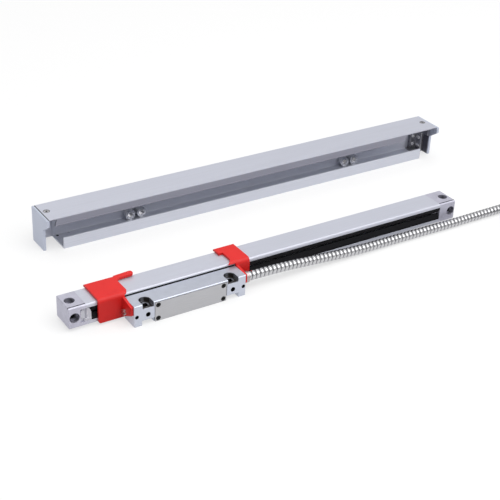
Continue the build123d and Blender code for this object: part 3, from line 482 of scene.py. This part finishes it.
def polished_metal(name, shade, roughness=0.2):
    """Bright turned or plated metal with a faint haze of wear."""
    finish, tree, shader = start_finish(name, shade, metallic=1.0, roughness=roughness)
    haze = grain(tree, [1.5 * MM] * 3)
    tint(tree, shader, haze, shade, change=0.08)
    vary_roughness(tree, shader, haze, POLISHED_STRAY, roughness)
    return finish


def moulded_plastic(name, shade, roughness=0.38, shine=0.5):
    """Moulded plastic with a fine sparked skin."""
    finish, tree, shader = start_finish(name, shade, metallic=0.0, roughness=roughness)
    shader.inputs["Specular IOR Level"].default_value = shine
    skin = grain(tree, [0.25 * MM] * 3, detail=2.0)
    clouds = grain(tree, [12 * MM] * 3, detail=1.0)
    tint(tree, shader, clouds, shade, change=0.04)
    vary_roughness(tree, shader, skin, PLASTIC_STRAY, roughness)
    relief(tree, shader, skin, height=0.015 * MM)
    return finish


def matt_rubber(name, shade):
    """Dark rubber with a dusty bloom."""
    finish, tree, shader = start_finish(name, shade, metallic=0.0, roughness=0.62)
    shader.inputs["Specular IOR Level"].default_value = 0.15
    bloom = grain(tree, (6 * MM, 0.6 * MM, 0.6 * MM))
    tint(tree, shader, bloom, shade, change=0.5)
    vary_roughness(tree, shader, bloom, RUBBER_ROUGHNESS)
    relief(tree, shader, bloom, height=0.02 * MM)
    return finish


def ruled_glass(name, glass, chromium):
    """Clear glass with chromium lines ruled along its length."""
    finish, tree, shader = start_finish(name, glass, metallic=0.0, roughness=0.05)
    lines = add_node(tree, "ShaderNodeTexWave", {"Scale": RULING_SCALE, "Distortion": 0.0})
    tree.links.new(own_space(tree), lines.inputs["Vector"])
    blend(tree, shader, lines.outputs[0], glass, chromium)
    shader.inputs["Transmission Weight"].default_value = 0.75
    return finish


def board_green(name, colours):
    """Circuit board: solder mask with a faint pattern of tracks."""
    finish, tree, shader = start_finish(name, colours.board, metallic=0.0, roughness=0.35)
    tracks = add_node(tree, "ShaderNodeTexBrick", {
        "Scale": TRACK_SCALE, "Mortar Size": TRACK_WIDTH, "Color1": opaque(colours.board),
        "Color2": opaque(colours.board_shade), "Mortar": opaque(colours.track)})
    tree.links.new(own_space(tree), tracks.inputs["Vector"])
    tree.links.new(tracks.outputs["Color"], shader.inputs["Base Color"])
    return finish


def armour_steel(name, strip, gap):
    """Stainless strip in its own colour on the crowns of its turns, with painted shade in the gaps between
    them.
    """
    finish, tree, shader = start_finish(name, strip, metallic=0.9, roughness=0.26)
    crown = add_node(tree, "ShaderNodeAttribute", attribute_name="crown")
    blend(tree, shader, crown.outputs["Fac"], gap, strip)
    haze = grain(tree, [2 * MM] * 3)
    vary_roughness(tree, shader, haze, ARMOUR_ROUGHNESS)
    return finish


def centre(node):
    """Middle of a node's box at rest."""
    low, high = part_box(node)
    return (low + high) / 2


def dress(finish, *nodes):
    """Give CAD nodes a finish."""
    for name in nodes:
        mesh = frame["nodes"][name].data
        mesh.materials.clear()
        mesh.materials.append(finish)


def new_piece(name, mesh, finish, body):
    """Put a mesh into the scene as a piece that rides on a body."""
    piece = bpy.data.objects.new(name, mesh)
    bpy.context.scene.collection.objects.link(piece)
    mesh.materials.append(finish)
    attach(piece, body)
    return piece


def mesh_data(name, mesh):
    """Turn a mesh that was being edited into data for a piece, and free it."""
    data = bpy.data.meshes.new(name)
    mesh.to_mesh(data)
    mesh.free()
    return data


def turned(name, profile, foot, direction, finish, around=ROUND_SIDES):
    """A turned fastener of the scale, or a flat ring or disc of painted shadow: a profile spun about a
    direction at its foot.
    """
    spin = Vector(direction).to_track_quat("Z", "Y")
    mesh = bmesh.new()
    rows = []
    for radius, height in profile:
        if radius == 0.0:
            rows.append([mesh.verts.new(Vector(foot) + spin @ Vector((0, 0, height * MM)))])
            continue
        angles = [2 * math.pi * step / around for step in range(around)]
        rows.append([mesh.verts.new(Vector(foot) + spin @ Vector(
            (radius * math.cos(angle), radius * math.sin(angle), height)) * MM) for angle in angles])
    for low, high in zip(rows, rows[1:]):
        for step in range(around):
            after = (step + 1) % around
            corners = [low[step % len(low)], low[after % len(low)]]
            corners += [high[after % len(high)], high[step % len(high)]]
            mesh.faces.new(list(dict.fromkeys(corners)))
    return new_piece(name, mesh_data(name, mesh), finish, "scale")


def drawn_strip(name, outline, start, end, finish, body="scale", upright=False):
    """A strip of constant section from start to end: of Y and Z along X, or upright, of X and Y along Z."""
    mesh = bmesh.new()
    near, far = [[mesh.verts.new((*point, reach) if upright else (reach, *point)) for point in outline]
                 for reach in (start, end)]
    count = len(outline)
    for step in range(count):
        after = (step + 1) % count
        mesh.faces.new((near[step], near[after], far[after], far[step]))
    mesh.faces.new(near[::-1])
    mesh.faces.new(far)
    mesh.normal_update()
    return new_piece(name, mesh_data(name, mesh), finish, body)


def cable_route(settings):
    """Control points of the cable's line, from the gland along the floor, through the coil, to the hood."""
    start = centre("cable_gland")
    start.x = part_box("cable_gland")[1].x
    coil_low, coil_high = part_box("cable_coil")
    coil = centre("cable_coil")
    diameter = (coil_high.z - coil_low.z) / 2
    rest = FLOOR_HEIGHT + diameter / 2
    outer = (coil_high.x - coil_low.x) / 2 - diameter / 2
    points = [
        (start.x, start.y, start.z),
        (0.1780, start.y, start.z),
        (0.2160, start.y + 0.0002, 0.0052),
        (0.2620, start.y - 0.0006, 0.0024),
        (0.3140, start.y + 0.0005, rest + 0.0001),
        (0.3680, start.y - 0.0005, rest),
        (0.4240, start.y + 0.0004, rest),
    ]
    steps = round(COIL_TURNS * settings.points_per_turn)
    for step in range(steps + 1):
        turn = COIL_TURNS * step / steps
        radius, height = coil_shape(turn, outer, diameter)
        angle = math.pi / 2 - 2 * math.pi * turn
        points.append((coil.x + radius * math.cos(angle), coil.y + radius * math.sin(angle), rest + height))
    tail_y = coil.y - outer
    hood = centre("connector_hood")
    hood_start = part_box("connector_hood")[1].x
    tail = (coil.x - hood_start) / 3
    points += [
        (coil.x - tail, tail_y + 0.0003, rest + diameter - 0.0004),
        (coil.x - 2 * tail, tail_y, hood.z),
        (hood_start, tail_y, hood.z),
    ]
    return points, diameter


def coil_shape(turn, outer, diameter):
    """Radius and height of the coil's line: inwards on the floor, up, then outwards on top."""
    inner = outer - COIL_TURNS_INWARD * diameter
    inner_top = outer - diameter * (COIL_TURNS - COIL_TURNS_INWARD - 1)
    if turn <= COIL_TURNS_INWARD:
        return outer - diameter * turn, 0.0
    climb = turn - COIL_TURNS_INWARD
    if climb < 1.0:
        bulge = CLIMB_BULGE * diameter * math.sin(math.pi * climb)
        return inner + (inner_top - inner) * climb - bulge, diameter * climb ** 2 * (3 - 2 * climb)
    return inner_top + diameter * (climb - 1), diameter


def smooth_line(name, points):
    """A NURBS curve with those control points and no bevel."""
    curve = bpy.data.curves.new(name, "CURVE")
    curve.dimensions = "3D"
    spline = curve.splines.new("NURBS")
    spline.points.add(len(points) - 1)
    for control, point in zip(spline.points, points):
        control.co = (*point, 1.0)
    spline.order_u = 3
    spline.use_endpoint_u = True
    spline.resolution_u = 12
    return curve


def read_line(curve):
    """Points along a curve with no bevel, as Blender evaluates it."""
    holder = bpy.data.objects.new(curve.name, curve)
    mesh = bpy.data.meshes.new_from_object(holder)
    points = [vertex.co.copy() for vertex in mesh.vertices]
    bpy.data.meshes.remove(mesh)
    bpy.data.objects.remove(holder)
    return points


def walk(points):
    """Length from the start to each point of a line."""
    lengths = [0.0]
    for before, after in zip(points, points[1:]):
        lengths.append(lengths[-1] + (after - before).length)
    return lengths


def frames_along(points):
    """A side and an upward direction at each point, carried along the line without twist."""
    sides = []
    side = Vector((0, 1, 0))
    for index in range(len(points)):
        ahead = points[min(index + 1, len(points) - 1)] - points[max(index - 1, 0)]
        ahead.normalize()
        side = (side - ahead * side.dot(ahead)).normalized()
        sides.append((side.copy(), ahead.cross(side)))
    return sides


def armour_mesh(points, diameter, settings):
    """The armour's strip wound along the line as one helical surface."""
    lengths = walk(points)
    sides = frames_along(points)
    rows_per_turn = len(ARMOUR_SECTION)
    around = settings.sides
    pitch = settings.turn_pitch
    turns = math.floor(lengths[-1] / pitch)
    mesh = bmesh.new()
    crown = mesh.verts.layers.float.new("crown")
    rows = []
    for row in range(turns * rows_per_turn + 1):
        part, drop, share = ARMOUR_SECTION[row % rows_per_turn]
        base = (row // rows_per_turn + part) * pitch
        radius = diameter / 2 - settings.groove_depth * drop
        ring = []
        for step in range(around):
            along = min(max(base - pitch * step / around, 0.0), lengths[-1])
            before = max(bisect_left(lengths, along) - 1, 0)
            way = (along - lengths[before]) / (lengths[before + 1] - lengths[before])
            middle = points[before].lerp(points[before + 1], way)
            side, up = sides[before]
            angle = 2 * math.pi * step / around
            vertex = mesh.verts.new(middle + radius * (math.cos(angle) * side + math.sin(angle) * up))
            vertex[crown] = share
            ring.append(vertex)
        rows.append(ring)
    for row, (near, far) in enumerate(zip(rows, rows[1:])):
        for step in range(around - 1):
            mesh.faces.new((near[step], far[step], far[step + 1], near[step + 1]))
        if row >= rows_per_turn:
            back = row - rows_per_turn
            mesh.faces.new((near[-1], far[-1], rows[back + 1][0], rows[back][0]))
    mesh.normal_update()
    data = mesh_data("armoured_cable", mesh)
    for face in data.polygons:
        face.use_smooth = True
    return data


def floor_finish(settings):
    """Pale floor; light that bounces off it onto the object is weaker than what the camera sees."""
    finish = bpy.data.materials.new("studio_floor")
    finish.use_nodes = True
    tree = finish.node_tree
    tree.nodes.clear()
    lit = add_node(tree, "ShaderNodeBsdfDiffuse", {"Color": opaque(settings.floor_colour)})
    glow = add_node(tree, "ShaderNodeEmission", {"Color": WHITE, "Strength": 1.0})
    seen = add_node(tree, "ShaderNodeMixShader", {"Fac": settings.floor_glow})
    tree.links.new(lit.outputs[0], seen.inputs[1])
    tree.links.new(glow.outputs[0], seen.inputs[2])
    bounced = add_node(tree, "ShaderNodeBsdfDiffuse", {"Color": opaque(settings.floor_bounce)})
    mix = add_node(tree, "ShaderNodeMixShader")
    output = add_node(tree, "ShaderNodeOutputMaterial")
    tree.links.new(seen_ray(tree), mix.inputs[0])
    tree.links.new(bounced.outputs[0], mix.inputs[1])
    tree.links.new(seen.outputs[0], mix.inputs[2])
    tree.links.new(mix.outputs[0], output.inputs["Surface"])
    return finish


def seen_ray(tree):
    """1 for the rays that camera, metal and glass see by, 0 for those that light the object."""
    path = add_node(tree, "ShaderNodeLightPath")
    return join(tree, "MAXIMUM", path.outputs["Is Camera Ray"], path.outputs["Is Glossy Ray"],
                path.outputs["Is Transmission Ray"])


def studio_sky(scene, level, wall):
    """Even white light from all sides, with a pale wall near the horizon that camera, metal and glass see."""
    world = bpy.data.worlds.new("studio")
    world.use_nodes = True
    tree = world.node_tree
    background = tree.nodes["Background"]
    background.inputs["Color"].default_value = WHITE
    direction = add_node(tree, "ShaderNodeTexCoord")
    parts = add_node(tree, "ShaderNodeSeparateXYZ")
    low = add_node(tree, "ShaderNodeMapRange", {
        "From Min": WALL_EDGE_START, "From Max": WALL_EDGE_END, "To Min": 1.0, "To Max": 0.0})
    tree.links.new(direction.outputs["Generated"], parts.inputs[0])
    tree.links.new(parts.outputs["Z"], low.inputs["Value"])
    strength = add_node(tree, "ShaderNodeMapRange", {"To Min": level, "To Max": wall})
    tree.links.new(join(tree, "MULTIPLY", seen_ray(tree), low.outputs["Result"]), strength.inputs["Value"])
    tree.links.new(strength.outputs["Result"], background.inputs["Strength"])
    scene.world = world


def lamp(scene, name, place, aim, size, power):
    """A square softbox that faces a point."""
    light = bpy.data.lights.new(name, "AREA")
    light.size = size
    light.energy = power
    softbox = bpy.data.objects.new(name, light)
    softbox.location = place
    softbox.rotation_euler = (Vector(aim) - Vector(place)).to_track_quat("-Z", "Y").to_euler()
    scene.collection.objects.link(softbox)


def set_camera(scene, settings):
    """Stand the camera where the photograph was taken from."""
    data = bpy.data.cameras.new("camera")
    data.lens = settings.lens
    data.sensor_width = SENSOR_WIDTH
    camera = bpy.data.objects.new("camera", data)
    place = Vector(settings.camera_place)
    turn = (Vector(settings.camera_aim) - place).to_track_quat("-Z", "Y").to_matrix().to_4x4()
    camera.matrix_world = Matrix.Translation(place) @ turn @ Matrix.Rotation(settings.camera_roll, 4, "Z")
    scene.collection.objects.link(camera)
    scene.camera = camera


class GLASSSCALE_OT_stage(bpy.types.Operator):
    """Set up the floor, the lamps, the world and the camera"""

    bl_idname = "glass_scale.stage"
    bl_label = "Stage"

    def execute(self, context):
        scene = context.scene
        settings = scene.glass_scale_stage
        sides = ((-1, -1), (1, -1), (1, 1), (-1, 1))
        corners = [(x * FLOOR_REACH, y * FLOOR_REACH, FLOOR_HEIGHT) for x, y in sides]
        floor_mesh = bpy.data.meshes.new("floor")
        floor_mesh.from_pydata(corners, [], [(0, 1, 2, 3)])
        floor = bpy.data.objects.new("floor", floor_mesh)
        scene.collection.objects.link(floor)
        floor_mesh.materials.append(floor_finish(settings))
        aim = settings.lamp_aim
        lamp(scene, "key_lamp", settings.key_place, aim, settings.key_size, settings.key_power)
        lamp(scene, "fill_lamp", settings.fill_place, aim, settings.fill_size, settings.fill_power)
        studio_sky(scene, settings.sky_level, settings.wall_level)
        set_camera(scene, settings)
        scene.view_settings.view_transform = "Standard"
        return {"FINISHED"}


class GLASSSCALE_OT_cable(bpy.types.Operator):
    bl_idname = "glass_scale.cable"
    bl_label = "Armoured cable"

    def execute(self, context):
        settings = context.scene.glass_scale_cable
        control, diameter = cable_route(settings)
        points = read_line(smooth_line("cable_line", control))
        steel = armour_steel("armour_steel", settings.strip, settings.gap)
        mesh = armour_mesh(points, diameter, settings)
        cable = new_piece("armoured_cable", mesh, steel, "head")
        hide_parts("cable", "cable_coil", "cable_tail")
        return {"FINISHED"}


class GLASSSCALE_OT_housing(bpy.types.Operator):
    """Finish the housing, its end blocks, lips and clamp"""

    bl_idname = "glass_scale.housing"
    bl_label = "Housing"

    def execute(self, context):
        colours = context.scene.glass_scale_finish
        dress(drawn_metal("anodised_housing", colours.anodised), "housing")
        low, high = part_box("housing")
        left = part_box("end_block_left")[0].x - BEYOND
        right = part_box("end_block_right")[1].x + BEYOND
        block = cast_metal("blasted_block", colours.cast, metallic=0.65, roughness=0.5)
        # Painted shade along the groove at the top of the end blocks
        groove_shade = (Vector((left, low.y + GROOVE_SHADE_SETBACK, high.z - BEYOND)),
                Vector((right, low.y + GROOVE_SHADE_SETBACK + GROOVE_SHADE_WIDTH, high.z + BEYOND)))
        darken(block, [groove_shade], BORE_SHADE, GROOVE_SHADE_FADE)
        # Painted shade in the end blocks' bores
        bores = upright_hollows("upright_holes", BLOCK_BORE, high.z - BLOCK_BORE_RIM, BORE_DEPTH)
        bores += level_hollows("level_holes", BLOCK_BORE, low.y + BLOCK_BORE_RIM, BORE_DEPTH)
        darken(block, bores, BORE_SHADE, BORE_FADE)
        dress(block, "end_block_left", "end_block_right")
        dress(moulded_plastic("pale_clamp", colours.clamp), "lip_clamp")
        dress(matt_rubber("lip_rubber", colours.rubber), "upper_lip", "lower_lip", "glass_bedding")
        dress(polished_metal("zinc_screw", colours.zinc, roughness=0.3), "end_block_screws")
        return {"FINISHED"}


class GLASSSCALE_OT_reader_head(bpy.types.Operator):
    """Finish the reader head, its plate and the cable's gland, and lay a dark strip of painted shade in the
    gap to the housing
    """

    bl_idname = "glass_scale.reader_head"
    bl_label = "Reader head"

    def execute(self, context):
        colours = context.scene.glass_scale_finish
        low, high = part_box("head_body")
        casting = cast_metal("head_casting", colours.head, roughness=0.36, change=0.04, height=0.02 * MM)
        # Painted shade in the head's screw pockets, bores and threaded holes
        top = high.z - SKIN
        pockets = upright_hollows("head_upright_holes", POCKET_REACH, top, POCKET_DEPTH + BEYOND - SKIN)
        for below, _ in pockets:
            below.y = low.y + POCKET_INSET
        darken(casting, pockets, POCKET_SHADE, POCKET_FADE)
        bores = upright_hollows("head_upright_holes", HEAD_BORE, high.z - POCKET_DEPTH, BORE_DEPTH)
        bores += level_hollows("head_threads", HEAD_THREAD, low.y + SKIN, HEAD_THREAD_DEPTH)
        bores += level_hollows("head_end_threads", END_THREAD, low.y + SKIN, END_THREAD_DEPTH)
        darken(casting, bores, DEEP_SHADE, THREAD_FADE)
        dress(casting, "head_body")
        dress(drawn_metal("brushed_plate", colours.plate, along=(14 * MM, 0.3 * MM, 0.3 * MM), change=0.1),
              "head_plate")
        gasket = matt_rubber("gasket_rubber", colours.rubber)
        dress(gasket, "head_gasket")
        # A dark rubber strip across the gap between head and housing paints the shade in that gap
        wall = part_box("housing")[0].y - SHADE_STRIP_GAP
        shade_strip = [(high.y - SKIN, high.z + edge) for edge in SHADE_STRIP_HEAD_EDGES]
        shade_strip += [(wall, high.z + edge) for edge in SHADE_STRIP_HOUSING_EDGES]
        left = low.x + BEYOND
        right = high.x - BEYOND
        drawn_strip("head_gap_shade_strip", shade_strip, left, right, gasket, body="head")
        dress(polished_metal("black_screw", colours.blackened, roughness=0.35), "head_plate_screws")
        dress(polished_metal("nickel_gland", colours.nickel, roughness=0.3), "cable_gland")
        dress(board_green("head_board_mask", colours), "head_board")
        return {"FINISHED"}


class GLASSSCALE_OT_reading_works(bpy.types.Operator):
    """Finish the glass, the carriage and what rolls and reads inside the housing"""

    bl_idname = "glass_scale.reading_works"
    bl_label = "Reading works"

    def execute(self, context):
        colours = context.scene.glass_scale_finish
        dress(ruled_glass("ruled_glass", colours.glass, colours.chromium), "glass_scale", "index_grating")
        dress(cast_metal("carriage_alloy", colours.carriage, roughness=0.35), "carriage_frame")
        dress(polished_metal("bearing_steel", colours.bearing), "roller_axles", "roller_1", "roller_2",
              "roller_3", "roller_4", "roller_5", "coupling_blade", "coupling_wire")
        dress(moulded_plastic("lamp_body", colours.lamp_body), "light_source")
        dress(board_green("detector_mask", colours), "detector_board")
        return {"FINISHED"}


class GLASSSCALE_OT_brackets(bpy.types.Operator):
    """Finish the red transport brackets and their screws"""

    bl_idname = "glass_scale.brackets"
    bl_label = "Transport brackets"

    def execute(self, context):
        colours = context.scene.glass_scale_finish
        plastic = moulded_plastic("red_plastic", colours.red, roughness=0.4, shine=0.3)
        dress(plastic, "left_bracket", "right_bracket")
        dress(polished_metal("bracket_zinc", colours.bright_zinc, roughness=0.28), "bracket_screws")
        return {"FINISHED"}


class GLASSSCALE_OT_connector(bpy.types.Operator):
    """Finish the connector at the cable's end"""

    bl_idname = "glass_scale.connector"
    bl_label = "Connector"

    def execute(self, context):
        colours = context.scene.glass_scale_finish
        dress(moulded_plastic("grey_hood", colours.hood), "connector_hood")
        dress(polished_metal("tinned_shell", colours.bright_zinc, roughness=0.25), "connector_shell")
        dress(moulded_plastic("black_insert", colours.insert), "connector_pins")
        screw = polished_metal("thumbscrew_zinc", colours.zinc, roughness=0.28)
        dress(screw, "thumbscrew_front", "thumbscrew_back")
        return {"FINISHED"}


def cover_shell_finish(shade, front):
    """Finish of the cover's shell, with painted shade in the band under its top, and darker at the joint with
    its left plate.
    """
    low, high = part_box("cover_shell")
    finish = drawn_metal("anodised_cover", shade)
    band = (Vector((low.x - BEYOND, low.y - BEYOND, high.z - BAND_HEIGHT)),
            Vector((high.x + BEYOND, front + BAND_REACH, high.z - BAND_DROP)))
    darken(finish, [band], BAND_SHADE, BAND_FADE)
    joint = (Vector((low.x - BEYOND, low.y - BEYOND, low.z - BEYOND)),
             Vector((low.x + JOINT_WIDTH, high.y + BEYOND, high.z + BEYOND)))
    darken(finish, [joint], DEEP_SHADE, JOINT_FADE)
    return finish


def end_plate_finish(shade, front):
    """Finish of the cover's end plates, with painted shade on the right one's inner side behind its front
    edge.
    """
    low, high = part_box("cover_shell")
    finish = drawn_metal("anodised_end", shade, along=(0.5 * MM, 40 * MM, 0.5 * MM))
    inner_side_shade = (Vector((high.x - BEYOND, front + PLATE_LIGHT_EDGE, low.z - BEYOND)),
                  Vector((high.x + PLATE_SKIN, high.y, high.z - COVER_WALL)))
    darken(finish, [inner_side_shade], PLATE_SHADE, PLATE_FADE)
    return finish


def corner_casting(plate, wall, base, alloy, steel):
    """The casting that ties the cover's wall to its right end plate, with a screw pair in each leg."""
    toe = wall - CASTING_PLATE_LEG
    heel = wall - CASTING_THICKNESS
    side = plate - CASTING_WALL_LEG
    inner = plate - CASTING_THICKNESS
    shelf = base + COVER_WALL
    outline = [
        (side, wall),
        (side, heel + CASTING_BEVEL),
        (side + CASTING_BEVEL, heel),
        (inner - CASTING_FILLET, heel),
        (inner, heel - CASTING_FILLET),
        (inner, toe + CASTING_BEVEL),
        (inner + CASTING_BEVEL, toe),
        (plate, toe),
        (plate, wall),
    ]
    drawn_strip("corner_casting", outline, shelf, base + CASTING_HEIGHT, alloy, upright=True)
    drawn_strip("corner_foot", ((toe, base), (toe, shelf), (wall, shelf), (wall, base)),
                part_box("cover_rail")[1].x, plate, alloy)
    for index, height in enumerate(CASTING_SCREW_HEIGHTS):
        for leg, x, y, facing in (("wall", side + CASTING_SCREW_INSET, heel, (0, -1, 0)),
                                  ("plate", inner, toe + CASTING_SCREW_INSET, (-1, 0, 0))):
            turned(f"corner_screw_{leg}_{index + 1}", CORNER_SCREW, (x, y, base + height), facing, steel)


class GLASSSCALE_OT_cover(bpy.types.Operator):
    """Finish the protective cover and its rail, and add its casting, small fasteners, and dark rings and
    discs of painted shadow
    """

    bl_idname = "glass_scale.cover"
    bl_label = "Protective cover"

    def execute(self, context):
        colours = context.scene.glass_scale_finish
        low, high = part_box("cover_shell")
        rail_low, rail_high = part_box("cover_rail")
        up = (0, 0, 1)
        dress(cover_shell_finish(colours.anodised, rail_low.y), "cover_shell")
        dress(drawn_metal("anodised_rail", colours.rail), "cover_rail")
        dress(end_plate_finish(colours.end, rail_low.y), "cover_end_left", "cover_end_right")
        steel = polished_metal("bolt_steel", colours.bolt, roughness=0.18)
        dress(steel, "rail_bolts", "cover_screws")
        # The cover brackets' dark colour is painted shade inside the cover's ends
        dress(cast_metal("corner_casting", colours.shaded_cast, size=0.5 * MM),
              "cover_bracket_left", "cover_bracket_right")
        shade = matt_rubber("joint_shadow", colours.joint)
        screws_low, screws_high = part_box("cover_screws")
        left = screws_low.x + COVER_SCREW_INSET
        right = screws_high.x - COVER_SCREW_INSET
        # Dark rings round the cover screws and dark discs in their sockets are painted shadow
        for side, x in (("left", left), ("right", right)):
            foot = (x, centre("cover_screws").y, high.z)
            turned(f"cover_screw_shadow_ring_{side}", COVER_SCREW_SHADOW_RING, foot, up, shade)
            turned(f"cover_screw_socket_shadow_{side}", COVER_SCREW_SOCKET_SHADOW, foot, up, shade, around=SOCKET_SIDES)
        alloy = cast_metal("bright_casting", colours.bright_cast, roughness=0.3, size=0.5 * MM)
        corner_casting(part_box("cover_bracket_right")[1].x, high.y - COVER_WALL, low.z, alloy, steel)
        rivet_y = rail_high.y - RIVET_SETBACK
        rail_floor = rail_low.z + RAIL_WALL
        turned("shelf_rivet", RIVET, (rail_low.x + RIVET_INSET, rivet_y, rail_floor), up, steel)
        # A dark disc on the rail's shelf paints the shadow of a punched hole
        turned("shelf_hole_shadow", PUNCHED_HOLE_SHADOW, (rail_low.x + HOLE_INSET, rivet_y, rail_floor), up, shade)
        return {"FINISHED"}


class GLASSSCALE_PT_panel(bpy.types.Panel):
    """Shows a button for each build step of the glass scale"""

    bl_idname = "GLASSSCALE_PT_panel"
    bl_label = "Glass scale"
    bl_space_type = "VIEW_3D"
    bl_region_type = "UI"
    bl_category = "Glass scale"

    def draw(self, context):
        for step in BUILD_STEPS:
            self.layout.operator(step.bl_idname)


BUILD_STEPS = (
    GLASSSCALE_OT_stage, GLASSSCALE_OT_cable, GLASSSCALE_OT_housing, GLASSSCALE_OT_reader_head,
    GLASSSCALE_OT_reading_works, GLASSSCALE_OT_brackets, GLASSSCALE_OT_connector, GLASSSCALE_OT_cover,
)
SETTINGS = {
    "glass_scale_stage": GlassScaleStage,
    "glass_scale_cable": GlassScaleCable,
    "glass_scale_finish": GlassScaleFinish,
}


def register():
    """Register the settings, the operators and the panel."""
    for name, kind in SETTINGS.items():
        bpy.utils.register_class(kind)
        setattr(bpy.types.Scene, name, PointerProperty(type=kind))
    for kind in (*BUILD_STEPS, GLASSSCALE_PT_panel):
        bpy.utils.register_class(kind)


def unregister():
    """Take everything back out."""
    for kind in reversed((*BUILD_STEPS, GLASSSCALE_PT_panel)):
        bpy.utils.unregister_class(kind)
    for name, kind in SETTINGS.items():
        delattr(bpy.types.Scene, name)
        bpy.utils.unregister_class(kind)


def main():
    """Build every piece in order."""
    register()
    for step in BUILD_STEPS:
        group, action = step.bl_idname.split(".")
        getattr(getattr(bpy.ops, group), action)()


if __name__ == "__main__":
    main()
